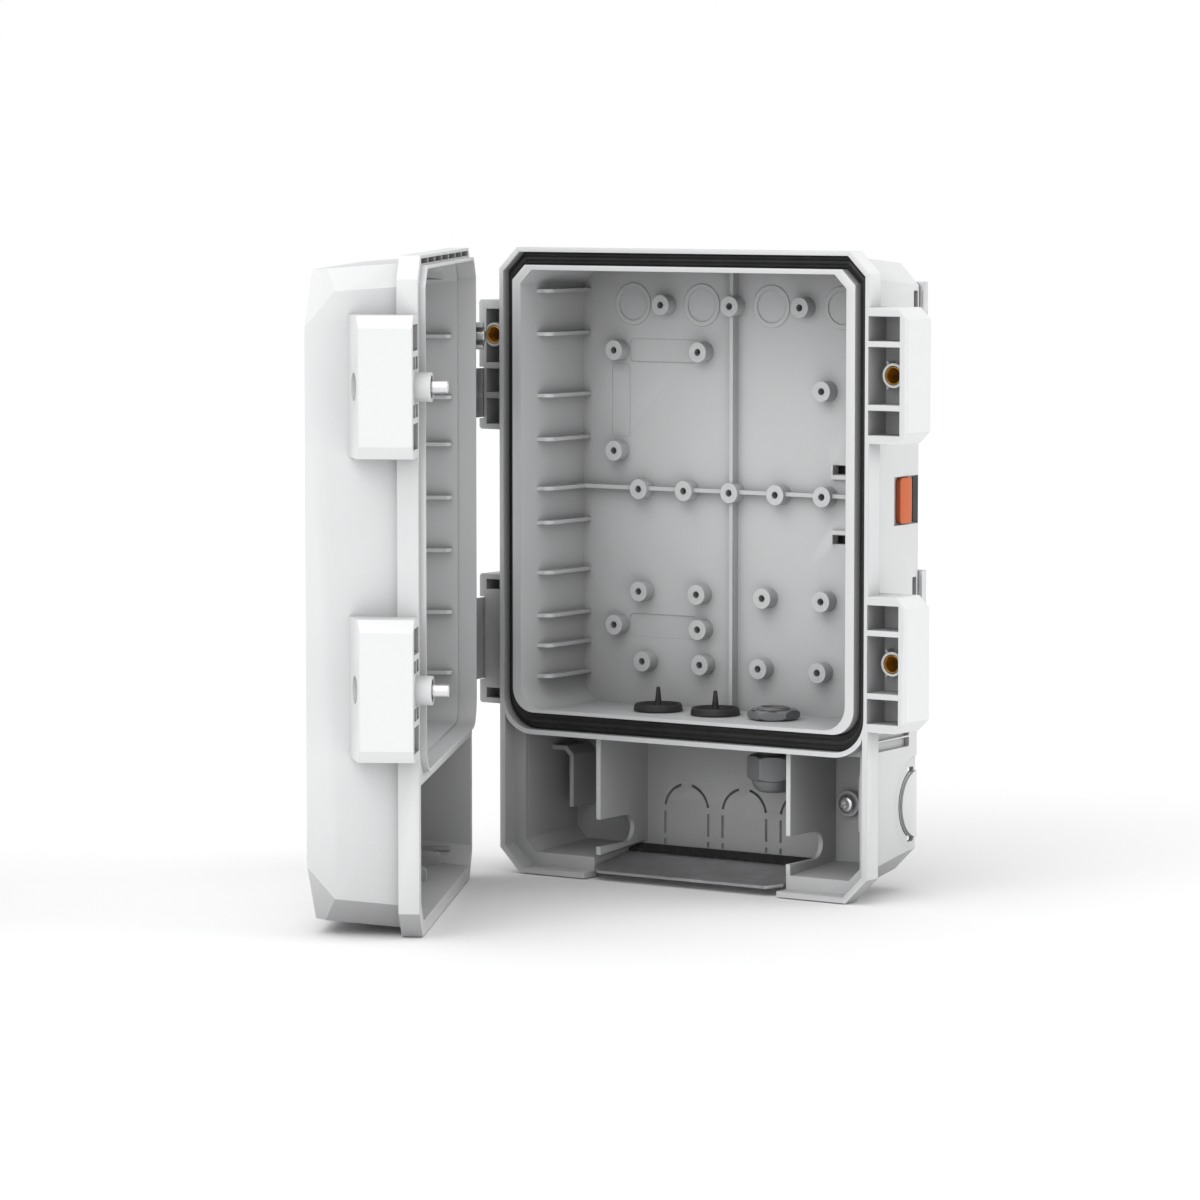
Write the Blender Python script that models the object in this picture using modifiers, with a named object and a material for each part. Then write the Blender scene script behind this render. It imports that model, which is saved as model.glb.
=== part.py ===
"""Wall-mounted electrical junction box with a side-hinged cover, a gasketed upper compartment and a
lower cable compartment.

Case frame: +X to the right, +Y from the rim back to the wall, +Z up. The rim plane is y = 0, the foot
of the rim is z = 0 and the middle of the box is x = 0. The cover is drawn closed, then its parent
empty on the hinge axis swings it open. All lengths are in metres.
"""
import math

import bmesh
import bpy
from mathutils import Matrix, Vector

# --- overall sizes -----------------------------------------------------------------------------
HALF_WIDTH = 0.105
HEIGHT = 0.3054
WALL_Y = 0.064  # wall plane, behind the rim plane
TOP_CUT = 0.0104  # corner chamfers of the rim
FOOT_CUT = 0.0118
GAP = 0.0003  # between neighbouring pieces
OVERLAP = 0.001  # how far cutters pass the faces they cut
SEAM = 0.0005  # between the two rims when the cover is shut

# --- base shell --------------------------------------------------------------------------------
RIM_DEPTH = 0.010
SHELL_INSET = 0.0055
SHELL_FOOT = 0.0025
SHELL_TOP = 0.3030
SHELL_DEPTH = 0.0595
SIDE_DRAFT = 0.060  # wall slopes, as run over depth
TOP_DRAFT = 0.085
FOOT_DRAFT = 0.130
BACK_WALL = 0.050
BACK_THICKNESS = 0.003
SKIRT_WALL = 0.0030

# --- upper compartment -------------------------------------------------------------------------
CAVITY_HALF = 0.0925
CAVITY_FLOOR = 0.0810
CAVITY_TOP = 0.2945
CAVITY_CUT = 0.0065
CAVITY_RADIUS = 0.012
CAVITY_DRAFT = 0.060
FLOOR_THICKNESS = 0.003
GROOVE_OUTER = (0.1027, 0.0709, 0.3032, 0.0095, 0.0165)  # half width, low, high, cut, foot radius
GROOVE_INNER = (0.0973, 0.0792, 0.2969, 0.0073, 0.0120)
GROOVE_DEPTH = 0.0073
GASKET_FACE = 0.0031
ARC_STEPS = 4
RIB_HEIGHTS = (0.2840, 0.2630, 0.2330, 0.2117, 0.1710, 0.1465, 0.1254, 0.1107, 0.0956)
RIB_LENGTH = 0.0045
RIB_THICKNESS = 0.0018
CROSS_RIB_Z = 0.1876
RIB_FRONT = 0.014
BACK_RIB_HEIGHT = 0.0050
BACK_RIB_THICKNESS = 0.0020
BACK_RIB_END = 0.006  # from the cavity wall at the rim
BOSS_RADIUS = 0.0049
BOSS_HOLE_RADIUS = 0.0018
BOSS_FRONT = 0.0430
BOSS_ROWS = {  # height: places across
    0.2772: (-0.0398, 0.0, 0.0398),
    0.2547: (-0.0671, -0.0182),
    0.2375: (0.0523,),
    0.2055: (-0.0671,),
    0.1871: (-0.0526, -0.0263, 0.0, 0.0263, 0.0526),
    0.1369: (-0.0525, -0.0188, 0.0190, 0.0523),
    0.1198: (-0.0670, -0.0181),
    0.1026: (-0.0504, -0.0168, 0.0168, 0.0504),
}
BOSS_SIDES = 12

# --- lower compartment -------------------------------------------------------------------------
LEDGE_HALF = 0.102
LEDGE_FOOT = 0.0028
LEDGE_Y = 0.0086
BAR_WALL = 0.0024  # rim wall left round the groove
CHAMBER_HALF = 0.0958
CHAMBER_FLOOR = 0.0095
CHAMBER_CUT = 0.006
CHAMBER_FLOOR_DRAFT = 0.06
PARTITIONS = ((-0.0539, -0.0514), (0.0549, 0.0573))
NOTCH_END = 0.038
NOTCH_Z = (0.0147, 0.0282)
HOOK_SPAN = 0.0138
HOOK_TOP = 0.0600
HOOK_FOOT = 0.0300
HOOK_THICKNESS = 0.0023
HOOK_FRONT = 0.030
OPENING_HALF = 0.055
OPENING_BACK = 0.0485

# --- corner blocks -----------------------------------------------------------------------------
BLOCK_OUT = 0.1256
BLOCK_BACK = 0.021
BLOCK_CUT = 0.0055
BLOCK_SPANS = {"upper": (0.21625, 0.2795), "lower": (0.0816, 0.1452)}
BLOCK_WALL = 0.0027
SCREW_X = 0.1135
SCREW_SOCKET_RADIUS = 0.0085
BOSS_FACE_Y = 0.0075
HINGE_BLOCK_OUT = 0.122
HINGE_BLOCK_FRONT = 0.007
HINGE_SCREW_Z = 0.2625
WINDOW_TALL = 0.0268  # middle window that holds the insert
WINDOW_DEPTH = 0.016
WINDOW_END = 0.0040  # block left above and below the windows
WINDOW_SIDE = 0.0042  # block left beside them
HINGE_WINDOWS = (0.0027, 0.0152, 0.0181, 0.0297, 0.0326, 0.05885)  # edges above the block's foot

# --- fasteners ---------------------------------------------------------------------------------
INSERT_RADIUS = 0.0043
INSERT_HOLE = 0.00320
INSERT_MOUTH = 0.0038
INSERT_LEAD = 0.0075
INSERT_LENGTH = 0.0125
SCREW_RADIUS = 0.00295
SCREW_LAYOUT = (0.0145, 0.0235, 0.0122)  # tip, shank length, tip to clip
HINGE_SCREW_LAYOUT = (0.0055, 0.0185, 0.0092)
SCREW_HEAD_RADIUS = 0.0050
SCREW_HEAD_LENGTH = 0.0055
SCREW_HEX = 0.0029
SCREW_GROOVE_RADIUS = 0.0023
CLIP_RADIUS = 0.0048
CLIP_THICKNESS = 0.0010
ROUND_SIDES = 16

# --- cover -------------------------------------------------------------------------------------
COVER_DEPTH = 0.052
COVER_SKIRT = 0.010
COVER_WALL = 0.0025
COVER_TOP_DRAFT = 0.075
COVER_SIDE_DRAFT = 0.040
COVER_HALF = 0.1005
COVER_FOOT = 0.0033
CORNER_FACET = 0.0345  # how far the end slopes and corner facets start from the ends
CROWN = 0.0022
FACET_NORMAL = (0.70, -0.547, 0.454)
TONGUE = (0.1010, 0.0740, 0.3010, 0.0093, 0.0150)
TONGUE_WALL = 0.0020
TONGUE_TIP = 0.0024
TRAY_BACK = 0.0485
LOWER_TRAY_HALF = 0.0985
LOWER_TRAY_FOOT = 0.0065
LOWER_TRAY_TOP = 0.0690
COVER_BLOCK_DEPTH = 0.0288
COVER_BLOCK_OUTER = 0.0243  # depth of the free-edge blocks at their outer side
COVER_BLOCK_SLOPE = 0.307  # how much deeper they get towards the shell, as a slope
WELL_START = 0.0345
ACCESS_RADIUS = 0.00675
SLEEVE_RADIUS = 0.0066
SLEEVE_BORE = 0.0052
NECK_BORE = 0.0036
SLEEVE_TIP = 0.0068
HINGE_SLEEVE_TIP = 0.0045
HINGE_SLEEVE_INNER = 0.1105
SLEEVE_FLOOR = (-0.0060, -0.0040)  # web that the screw's head seats on

# --- hinges ------------------------------------------------------------------------------------
AXIS = Vector((-0.1229, -0.0080, 0.0))
OPEN_ANGLE = math.radians(60.8)
KNUCKLE_RADIUS = 0.0030
PIN_RADIUS = 0.0015
PIN_HEAD_RADIUS = 0.0026
PIN_HEAD = 0.0012
PIN_ROOM = 0.0030  # clear height above each top lug
LUG_RADIUS = 0.0036
LUG_HEIGHT = 0.0070
LEAF_X = (-0.1216, -0.1196)
LEAF_BACK = 0.0205
KNUCKLES = {"upper": (0.2220, 0.2460), "lower": (0.0935, 0.1333)}
KNUCKLE_ROOM = 0.0039  # cleared round the knuckle in the cover's block

# --- bracket, latch, plate and small parts -----------------------------------------------------
BRACKET_HALF = 0.088
BRACKET_SPAN = (0.030, 0.290)
BRACKET_FRONT = 0.0600
BRACKET_EAR_HALF = 0.0985
BRACKET_EARS = ((0.272, 0.290), (0.135, 0.153))
SLIDER_Y = (0.0402, 0.0522)
SLIDER_Z = (0.1760, 0.1983)
SLIDER_TRAVEL = 0.0050
SLIDER_RECESS = 0.0022
LABEL_Y = (0.0545, 0.0590)
PLUG_PLACES = {"left": -0.0300, "middle": 0.0030}
GLAND_X = 0.0362
FLOOR_Y = 0.0270
ENTRY_HOLE_RADIUS = 0.0082
PLUG_RADIUS = 0.0120
PLUG_RIM = 0.0035
PLUG_NECK = 0.0078
STEM_TOP = 0.0930
STEM_RADIUS = 0.0013
GLAND_HEX = 0.0110  # half the distance across flats
GLAND_THREAD = 0.0079
PLATE_X = (-0.0543, 0.0543)
PLATE_Y = (0.0012, 0.0380)
PLATE_Z = 0.0036
PLATE_THICKNESS = 0.0015
PLATE_SLOPE = math.radians(8.0)
PLATE_CUT = 0.006
FIXING_X = 0.0664
FIXING_Z = 0.0405
FIXING_HEAD_RADIUS = 0.0047
FIXING_SHANK_RADIUS = 0.0020


def clear_scene():
    """Remove every object, so that the model starts from nothing."""
    for item in list(bpy.data.objects):
        bpy.data.objects.remove(item, do_unlink=True)


def new_collection(name):
    """Make a collection under the scene."""
    group = bpy.data.collections.new(name)
    bpy.context.scene.collection.children.link(group)
    return group


def material(name, colour, roughness, metallic=0.0):
    """Principled material with one colour."""
    made = bpy.data.materials.new(name)
    made.use_nodes = True
    shader = made.node_tree.nodes["Principled BSDF"]
    shader.inputs["Base Color"].default_value = (*colour, 1.0)
    shader.inputs["Roughness"].default_value = roughness
    shader.inputs["Metallic"].default_value = metallic
    return made


# --- mesh makers, all in the case frame --------------------------------------------------------
def mesh_of(bm):
    """Store a bmesh as a mesh."""
    mesh = bpy.data.meshes.new("shape")
    bm.to_mesh(mesh)
    bm.free()
    return mesh


def block(x_span, y_span, z_span):
    """A box between three pairs of limits."""
    bm = bmesh.new()
    bmesh.ops.create_cube(bm, size=1.0)
    low = Vector((min(x_span), min(y_span), min(z_span)))
    high = Vector((max(x_span), max(y_span), max(z_span)))
    size = high - low
    bmesh.ops.scale(bm, vec=size, verts=bm.verts)
    bmesh.ops.translate(bm, vec=(low + high) / 2, verts=bm.verts)
    return mesh_of(bm)


def rod(centre, along, start, end, radius, sides=ROUND_SIDES, end_radius=None):
    """A cylinder or cone on a line through centre, from start to end along the named axis."""
    bm = bmesh.new()
    tip = radius if end_radius is None else end_radius
    bmesh.ops.create_cone(
        bm, cap_ends=True, segments=sides, radius1=radius, radius2=tip, depth=end - start
    )
    bmesh.ops.translate(bm, vec=(0, 0, (start + end) / 2), verts=bm.verts)
    turns = {"x": Matrix.Rotation(math.pi / 2, 3, "Y"), "y": Matrix.Rotation(-math.pi / 2, 3, "X")}
    if along in turns:
        bmesh.ops.rotate(bm, matrix=turns[along], verts=bm.verts)
    bmesh.ops.translate(bm, vec=centre, verts=bm.verts)
    return mesh_of(bm)


def slab(outlines, y_start, y_end):
    """A flat outline in x and z, with any inner outlines as holes, extruded along y."""
    curve = bpy.data.curves.new("outline", "CURVE")
    curve.dimensions = "2D"
    curve.fill_mode = "BOTH"
    curve.extrude = abs(y_end - y_start) / 2
    for points in outlines:
        spline = curve.splines.new("POLY")
        spline.points.add(len(points) - 1)
        for place, (x, z) in zip(spline.points, points):
            place.co = (x, z, 0.0, 1.0)
        spline.use_cyclic_u = True
    holder = bpy.data.objects.new("outline", curve)
    bpy.context.scene.collection.objects.link(holder)
    bpy.context.view_layer.update()
    evaluated = holder.evaluated_get(bpy.context.evaluated_depsgraph_get())
    mesh = bpy.data.meshes.new_from_object(evaluated)
    bpy.data.objects.remove(holder, do_unlink=True)
    bm = bmesh.new()
    bm.from_mesh(mesh)
    bpy.data.meshes.remove(mesh)
    bmesh.ops.remove_doubles(bm, verts=bm.verts, dist=1e-6)
    bmesh.ops.rotate(bm, matrix=Matrix.Rotation(math.pi / 2, 3, "X"), verts=bm.verts)
    bmesh.ops.translate(bm, vec=(0, (y_start + y_end) / 2, 0), verts=bm.verts)
    bmesh.ops.recalc_face_normals(bm, faces=bm.faces)
    return mesh_of(bm)


def side_slab(points, x_start, x_end):
    """A flat outline in y and z, extruded along x."""
    mesh = slab([[(y, z) for y, z in points]], x_start, x_end)
    mesh.transform(Matrix(((0, 1, 0, 0), (1, 0, 0, 0), (0, 0, 1, 0), (0, 0, 0, 1))))
    bm = bmesh.new()
    bm.from_mesh(mesh)
    bmesh.ops.recalc_face_normals(bm, faces=bm.faces)
    return mesh_of(bm)


def outline(half, low, high, top_cut, foot, steps=1):
    """Symmetric outline with chamfered top corners and foot corners cut by an arc of some steps."""
    right = []
    for step in range(steps + 1):
        angle = math.pi / 2 * step / steps
        right.append((half - foot * (1 - math.sin(angle)), low + foot * (1 - math.cos(angle))))
    if top_cut:
        right += [(half, high - top_cut), (half - top_cut, high)]
    else:
        right.append((half, high))
    return right + [(-x, z) for x, z in reversed(right)]


def draft(mesh, y_from, side, low=0.0, high=0.0):
    """Draw the walls in with depth behind y_from: side, low and high are slopes."""
    middle = sum(v.co.z for v in mesh.vertices) / len(mesh.vertices)
    for vertex in mesh.vertices:
        depth = abs(vertex.co.y - y_from)
        vertex.co.x -= math.copysign(side * depth, vertex.co.x)
        vertex.co.z += low * depth if vertex.co.z < middle else -high * depth
    return mesh


def joined(meshes):
    """Several meshes in one, as separate bodies."""
    bm = bmesh.new()
    for mesh in meshes:
        bm.from_mesh(mesh)
    return mesh_of(bm)


def mirrored(mesh):
    """The same mesh across the plane x = 0."""
    copy = mesh.copy()
    copy.transform(Matrix.Scale(-1, 4, (1, 0, 0)))
    copy.flip_normals()
    return copy


def moved(mesh, offset):
    """The mesh shifted by an offset."""
    mesh.transform(Matrix.Translation(offset))
    return mesh


# --- objects -----------------------------------------------------------------------------------
def add_object(name, mesh, finish, parent, origin=Vector((0, 0, 0)), frame=Vector((0, 0, 0))):
    """A named node: the mesh is drawn in the case frame and hung on its parent at origin."""
    mesh.transform(Matrix.Translation(-origin))
    mesh.materials.clear()
    mesh.materials.append(finish)
    node = bpy.data.objects.new(name, mesh)
    node.parent = parent
    node.location = origin - frame
    parts.objects.link(node)
    return node


def boolean(node, mesh, operation, number):
    """Join or cut a node with a mesh drawn in the case frame."""
    tool = bpy.data.objects.new(f"{node.name}_{operation.lower()}_{number}", mesh)
    tool.parent = node.parent
    tool.location = node.location - Vector(node["origin"])
    tool.display_type = "WIRE"
    tool.hide_render = True
    cutters.objects.link(tool)
    step = node.modifiers.new(tool.name, "BOOLEAN")
    step.operation = operation
    step.solver = "EXACT"
    step.object = tool


def build_up(node, steps, origin=Vector((0, 0, 0))):
    """Apply a list of (operation, mesh) steps to a node in order."""
    node["origin"] = origin
    for number, (operation, mesh) in enumerate(steps, 1):
        boolean(node, mesh, operation, number)


def empty(name, place, turn=0.0, parent=None):
    """An empty to hang pieces on."""
    made = bpy.data.objects.new(name, None)
    made.location = place
    made.rotation_euler.z = turn
    made.parent = parent
    parts.objects.link(made)
    return made


def shade_round(node, limit=math.radians(35)):
    """Smooth shading that keeps the sharp edges."""
    node.data.shade_smooth()
    node.data.set_sharp_from_angle(angle=limit)


# --- base shell --------------------------------------------------------------------------------
def block_windows(span, insert_z, front, depth, x_in, x_out):
    """Pockets in a corner block's front: one round the insert and one or two beside it."""
    low, high = span
    windows = []
    if insert_z > (low + high) / 2 + OVERLAP:
        limits = [low + rise for rise in HINGE_WINDOWS]
    else:
        edge = WINDOW_TALL / 2
        limits = [low + WINDOW_END, insert_z - edge - BLOCK_WALL, insert_z - edge]
        limits += [insert_z + edge, insert_z + edge + BLOCK_WALL, high - WINDOW_END]
    for start, end in zip(limits[::2], limits[1::2]):
        windows.append(block((x_in, x_out), (front - OVERLAP, front + depth), (start, end)))
    return joined(windows)


def plain_block(out, front, back, span, cut):
    """A block on the side of the case, its outer corners chamfered."""
    low, high = span
    inner = HALF_WIDTH - SHELL_INSET - 0.0025
    points = [(inner, low), (out - cut, low), (out, low + cut)]
    points += [(out, high - cut), (out - cut, high), (inner, high)]
    return slab([points], front, back)


def insert_boss(side, z, face, back):
    """Boss that holds a brass insert, with webs out to the block's walls."""
    place = (side * SCREW_X, 0, z)
    return rod(place, "y", face, back, SCREW_SOCKET_RADIUS - BLOCK_WALL)


def base_blocks():
    """The two screw blocks on the right and the two hinge blocks on the left."""
    adds = []
    for span in BLOCK_SPANS.values():
        adds.append(plain_block(BLOCK_OUT, 0.0, BLOCK_BACK, span, BLOCK_CUT))
        hinge_side = plain_block(HINGE_BLOCK_OUT, HINGE_BLOCK_FRONT, BLOCK_BACK, span, OVERLAP)
        adds.append(mirrored(hinge_side))
    return joined(adds)


def base_block_cuts():
    """Pockets in the front of the blocks and the recess for each hinge leaf."""
    cuts = []
    x_in = HALF_WIDTH - OVERLAP / 2
    for low, high in BLOCK_SPANS.values():
        middle = (low + high) / 2
        cuts.append(block_windows((low, high), middle, 0.0, WINDOW_DEPTH, x_in, BLOCK_OUT - WINDOW_SIDE))
    upper = BLOCK_SPANS["upper"]
    hinge_windows = block_windows(
        upper, HINGE_SCREW_Z, HINGE_BLOCK_FRONT, 0.0105, x_in, HINGE_BLOCK_OUT - WINDOW_SIDE
    )
    cuts.append(mirrored(hinge_windows))
    low, high = BLOCK_SPANS["lower"]
    for start, end in ((low + 0.0026, low + 0.0075), (high - 0.0075, high - 0.0026)):
        spans = (-HINGE_BLOCK_OUT + 0.0040, -x_in), (HINGE_BLOCK_FRONT - OVERLAP, 0.0175)
        cuts.append(block(*spans, (start, end)))
    for low, high in KNUCKLES.values():
        inner = LEAF_X[1] + GAP
        spans = (-HINGE_BLOCK_OUT - OVERLAP, inner), (HINGE_BLOCK_FRONT - OVERLAP, BLOCK_BACK + OVERLAP)
        cuts.append(block(*spans, (low - GAP * 2, high + GAP * 2)))
    return joined(cuts)


def insert_places():
    """Where each brass insert sits: side, height, face of its boss and end of its boss."""
    middles = {name: sum(span) / 2 for name, span in BLOCK_SPANS.items()}
    return {
        "upper_right": (1, middles["upper"], BOSS_FACE_Y, BLOCK_BACK - OVERLAP),
        "lower_right": (1, middles["lower"], BOSS_FACE_Y, BLOCK_BACK - OVERLAP),
        "upper_left": (-1, HINGE_SCREW_Z, BOSS_FACE_Y, BLOCK_BACK - OVERLAP),
    }


def base_insert_bosses():
    """Bosses for the three inserts."""
    return joined([insert_boss(*place) for place in insert_places().values()])


def base_insert_bores():
    """Blind bores that the inserts are pressed into."""
    cuts = []
    for side, z, face, _ in insert_places().values():
        place = (side * SCREW_X, 0, z)
        end = face + INSERT_LENGTH + GAP
        cuts.append(rod(place, "y", face - OVERLAP, end, INSERT_RADIUS + GAP))
    return joined(cuts)


def lower_opening():
    """Stepped opening of the lower compartment, clear of the rounded bar under the gasket."""
    half, low, high, cut, radius = GROOVE_OUTER
    rounded = radius + BAR_WALL
    start = low - BAR_WALL
    edge = outline(LEDGE_HALF, LEDGE_FOOT, start, 0.0, FOOT_CUT - 0.0015)
    left = [p for p in edge if p[0] < 0]
    right = [p for p in edge if p[0] > 0]
    arc = []
    for step in range(1, ARC_STEPS + 1):
        angle = math.pi / 2 * step / ARC_STEPS
        arc.append((half + BAR_WALL - rounded * (1 - math.sin(angle)), start + rounded * (1 - math.cos(angle))))
    arc = [(x, z) for x, z in arc if x < LEDGE_HALF]
    top = [(LEDGE_HALF, arc[-1][1] + BAR_WALL)] + arc[::-1]
    flat_end = (half + BAR_WALL - rounded, start)
    right = right[:-1] + top + [flat_end]
    return [right + [(-x, z) for x, z in reversed(right)]]


def base_cavities():
    """Cuts that hollow the case: compartments, gasket groove and the recess for the bracket."""
    upper = slab([outline(CAVITY_HALF, CAVITY_FLOOR, CAVITY_TOP, CAVITY_CUT, CAVITY_RADIUS, 3)],
                 -OVERLAP, BACK_WALL)
    draft(upper, -OVERLAP, CAVITY_DRAFT, 0.0, 0.02)
    groove = slab([outline(*GROOVE_OUTER, ARC_STEPS), outline(*GROOVE_INNER, ARC_STEPS)],
                  -OVERLAP, GROOVE_DEPTH)
    ledge = slab(lower_opening(), -OVERLAP, LEDGE_Y)
    roof = CAVITY_FLOOR - FLOOR_THICKNESS
    chambers = slab([outline(CHAMBER_HALF, CHAMBER_FLOOR, roof, 0.0, CHAMBER_CUT)],
                    RIM_DEPTH, BACK_WALL)
    draft(chambers, LEDGE_Y, CAVITY_DRAFT, CHAMBER_FLOOR_DRAFT, 0.0)
    mouth_top = GROOVE_OUTER[1] - BAR_WALL
    mouth = slab([outline(CHAMBER_HALF, CHAMBER_FLOOR, mouth_top, 0.0, CHAMBER_CUT)],
                 LEDGE_Y - OVERLAP, RIM_DEPTH + OVERLAP)
    half = HALF_WIDTH - SHELL_INSET - SIDE_DRAFT * (SHELL_DEPTH - RIM_DEPTH) - SKIRT_WALL
    low = SHELL_FOOT + FOOT_DRAFT * (SHELL_DEPTH - RIM_DEPTH) + SKIRT_WALL
    high = SHELL_TOP - TOP_DRAFT * (SHELL_DEPTH - RIM_DEPTH) - SKIRT_WALL
    rear = slab([outline(half, low, high, TOP_CUT - 0.003, FOOT_CUT - 0.003)],
                BACK_WALL + BACK_THICKNESS, SHELL_DEPTH + OVERLAP)
    return [upper, groove, ledge, chambers, mouth, rear]


def base_ribs():
    """Stiffening ribs on the side walls and the low cross ribs on the back wall."""
    ribs = []
    wall = CAVITY_HALF + 0.0005
    for z in RIB_HEIGHTS + (CROSS_RIB_Z,):
        z_span = (z - RIB_THICKNESS / 2, z + RIB_THICKNESS / 2)
        tip = CAVITY_HALF - CAVITY_DRAFT * BACK_WALL - RIB_LENGTH
        rib = block((tip, wall), (RIB_FRONT, BACK_WALL + OVERLAP), z_span)
        ribs += [rib, mirrored(rib)]
    return joined(ribs)


def back_ribs():
    """The upright and the cross rib on the back wall."""
    front = BACK_WALL - BACK_RIB_HEIGHT
    half = BACK_RIB_THICKNESS / 2
    reach = CAVITY_HALF - BACK_RIB_END
    upright = block((-half, half), (front, BACK_WALL + OVERLAP), (CAVITY_FLOOR - OVERLAP, CAVITY_TOP))
    across = block((-reach, reach), (front, BACK_WALL + OVERLAP), (CROSS_RIB_Z - half, CROSS_RIB_Z + half))
    return upright, across


def boss_places():
    """Every boss on the back wall, as (x, z)."""
    return [(x, z) for z, row in BOSS_ROWS.items() for x in row]


def base_bosses():
    """Screw bosses on the back wall."""
    places = boss_places()
    return joined([
        rod((x, 0, z), "y", BOSS_FRONT, BACK_WALL + OVERLAP, BOSS_RADIUS, BOSS_SIDES) for x, z in places
    ])


def base_boss_holes():
    """Blind pilot holes in the bosses."""
    places = boss_places()
    return joined([
        rod((x, 0, z), "y", BOSS_FRONT - OVERLAP, BACK_WALL, BOSS_HOLE_RADIUS, 8) for x, z in places
    ])


def partition(span):
    """Upright wall in the lower compartment with a cable notch open to the front."""
    low, high = NOTCH_Z
    foot = 0.0060
    top = CAVITY_FLOOR - OVERLAP
    points = [(LEDGE_Y, foot), (LEDGE_Y, low)]
    radius = (high - low) / 2
    centre = (NOTCH_END - radius, (low + high) / 2)
    for step in range(ARC_STEPS + 1):
        angle = -math.pi / 2 + math.pi * step / ARC_STEPS
        points.append((centre[0] + radius * math.cos(angle), centre[1] + radius * math.sin(angle)))
    points += [(LEDGE_Y, high), (LEDGE_Y, top), (BACK_WALL + OVERLAP, top), (BACK_WALL + OVERLAP, foot)]
    return side_slab(points, *span)


def hook():
    """Hook on the right wall of the lower compartment, to lay cables over."""
    outer = CHAMBER_HALF - HOOK_SPAN
    wall = CHAMBER_HALF + OVERLAP
    points = [(wall, HOOK_TOP - HOOK_THICKNESS), (wall, HOOK_TOP)]
    points += [(outer + 0.004, HOOK_TOP), (outer, HOOK_TOP - 0.004), (outer, HOOK_FOOT)]
    points += [(outer + HOOK_THICKNESS, HOOK_FOOT), (outer + HOOK_THICKNESS, HOOK_TOP - 0.005)]
    points += [(outer + 0.005, HOOK_TOP - HOOK_THICKNESS)]
    return slab([points], HOOK_FRONT, BACK_WALL + OVERLAP)


def lower_fittings():
    """Partitions, cable hooks and fixing bosses of the lower compartment."""
    hooks = [hook(), mirrored(hook())]
    seats = []
    for side in (-1, 1):
        place = (side * FIXING_X, 0, FIXING_Z)
        seats.append(rod(place, "y", BACK_WALL - 0.004, BACK_WALL + OVERLAP, FIXING_HEAD_RADIUS + 0.0015))
    return joined([partition(span) for span in PARTITIONS] + hooks + seats)


def base_holes():
    """Holes through the floor, the back wall and the bottom."""
    cuts = []
    roof = CAVITY_FLOOR - FLOOR_THICKNESS
    for x in (*PLUG_PLACES.values(), GLAND_X):
        cuts.append(rod((x, FLOOR_Y, 0), "z", roof - OVERLAP, CAVITY_FLOOR + OVERLAP, ENTRY_HOLE_RADIUS))
    for side in (-1, 1):
        place = (side * FIXING_X, 0, FIXING_Z)
        cuts.append(rod(place, "y", BACK_WALL - 0.005, SHELL_DEPTH, FIXING_SHANK_RADIUS + GAP, 12))
    return joined(cuts)


def bottom_opening():
    """Opening in the bottom, open to the front, with a channel on each side for the entry plate."""
    slope = math.tan(PLATE_SLOPE)
    rise = PLATE_Z + slope * (OPENING_BACK - PLATE_Y[0])
    points = [(-OVERLAP, -OVERLAP), (-OVERLAP, CHAMBER_FLOOR + 0.0005)]
    points += [(OPENING_BACK, CHAMBER_FLOOR + 0.0045), (OPENING_BACK, rise - 0.0060), (OPENING_BACK, -OVERLAP)]
    throat = side_slab(points, -OPENING_HALF, OPENING_HALF)
    return throat


def slider_recess():
    """Shallow recess on the right side for the lock slider and its position plate."""
    y_span = (SLIDER_Y[0] - SLIDER_TRAVEL - GAP, LABEL_Y[1] + GAP)
    z_span = (SLIDER_Z[0] - GAP, SLIDER_Z[1] + GAP)
    surface = HALF_WIDTH - SHELL_INSET - SIDE_DRAFT * (SLIDER_Y[0] - RIM_DEPTH)
    return block((surface - SLIDER_RECESS, surface + 0.004), y_span, z_span)


def make_base_shell(finish, parent):
    """The moulded case."""
    rim = slab([outline(HALF_WIDTH, 0.0, HEIGHT, TOP_CUT, FOOT_CUT)], 0.0, RIM_DEPTH)
    node = add_object("base_shell", rim, finish, parent)
    shell = slab([outline(HALF_WIDTH - SHELL_INSET, SHELL_FOOT, SHELL_TOP, TOP_CUT, FOOT_CUT)],
                 RIM_DEPTH - OVERLAP, SHELL_DEPTH)
    draft(shell, RIM_DEPTH - OVERLAP, SIDE_DRAFT, FOOT_DRAFT, TOP_DRAFT)
    steps = [("UNION", shell), ("UNION", base_blocks())]
    steps += [("DIFFERENCE", cut) for cut in base_cavities()]
    steps += [("DIFFERENCE", base_block_cuts()), ("UNION", base_insert_bosses())]
    steps += [("UNION", base_ribs())]
    steps += [("UNION", rib) for rib in back_ribs()]
    steps += [("UNION", base_bosses()), ("UNION", lower_fittings())]
    steps += [("DIFFERENCE", bottom_opening()), ("DIFFERENCE", slider_recess())]
    steps += [("DIFFERENCE", base_insert_bores()), ("DIFFERENCE", base_boss_holes())]
    steps += [("DIFFERENCE", base_holes())]
    build_up(node, steps)
    shade_round(node)


# --- cover -------------------------------------------------------------------------------------
def cut_corner(bm, point, normal):
    """Slice off what lies past a plane and close the cut."""
    geometry = bm.verts[:] + bm.edges[:] + bm.faces[:]
    cut = bmesh.ops.bisect_plane(bm, geom=geometry, plane_co=point, plane_no=normal, clear_outer=True)
    edges = [item for item in cut["geom_cut"] if isinstance(item, bmesh.types.BMEdge)]
    bmesh.ops.contextual_create(bm, geom=edges)


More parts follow.
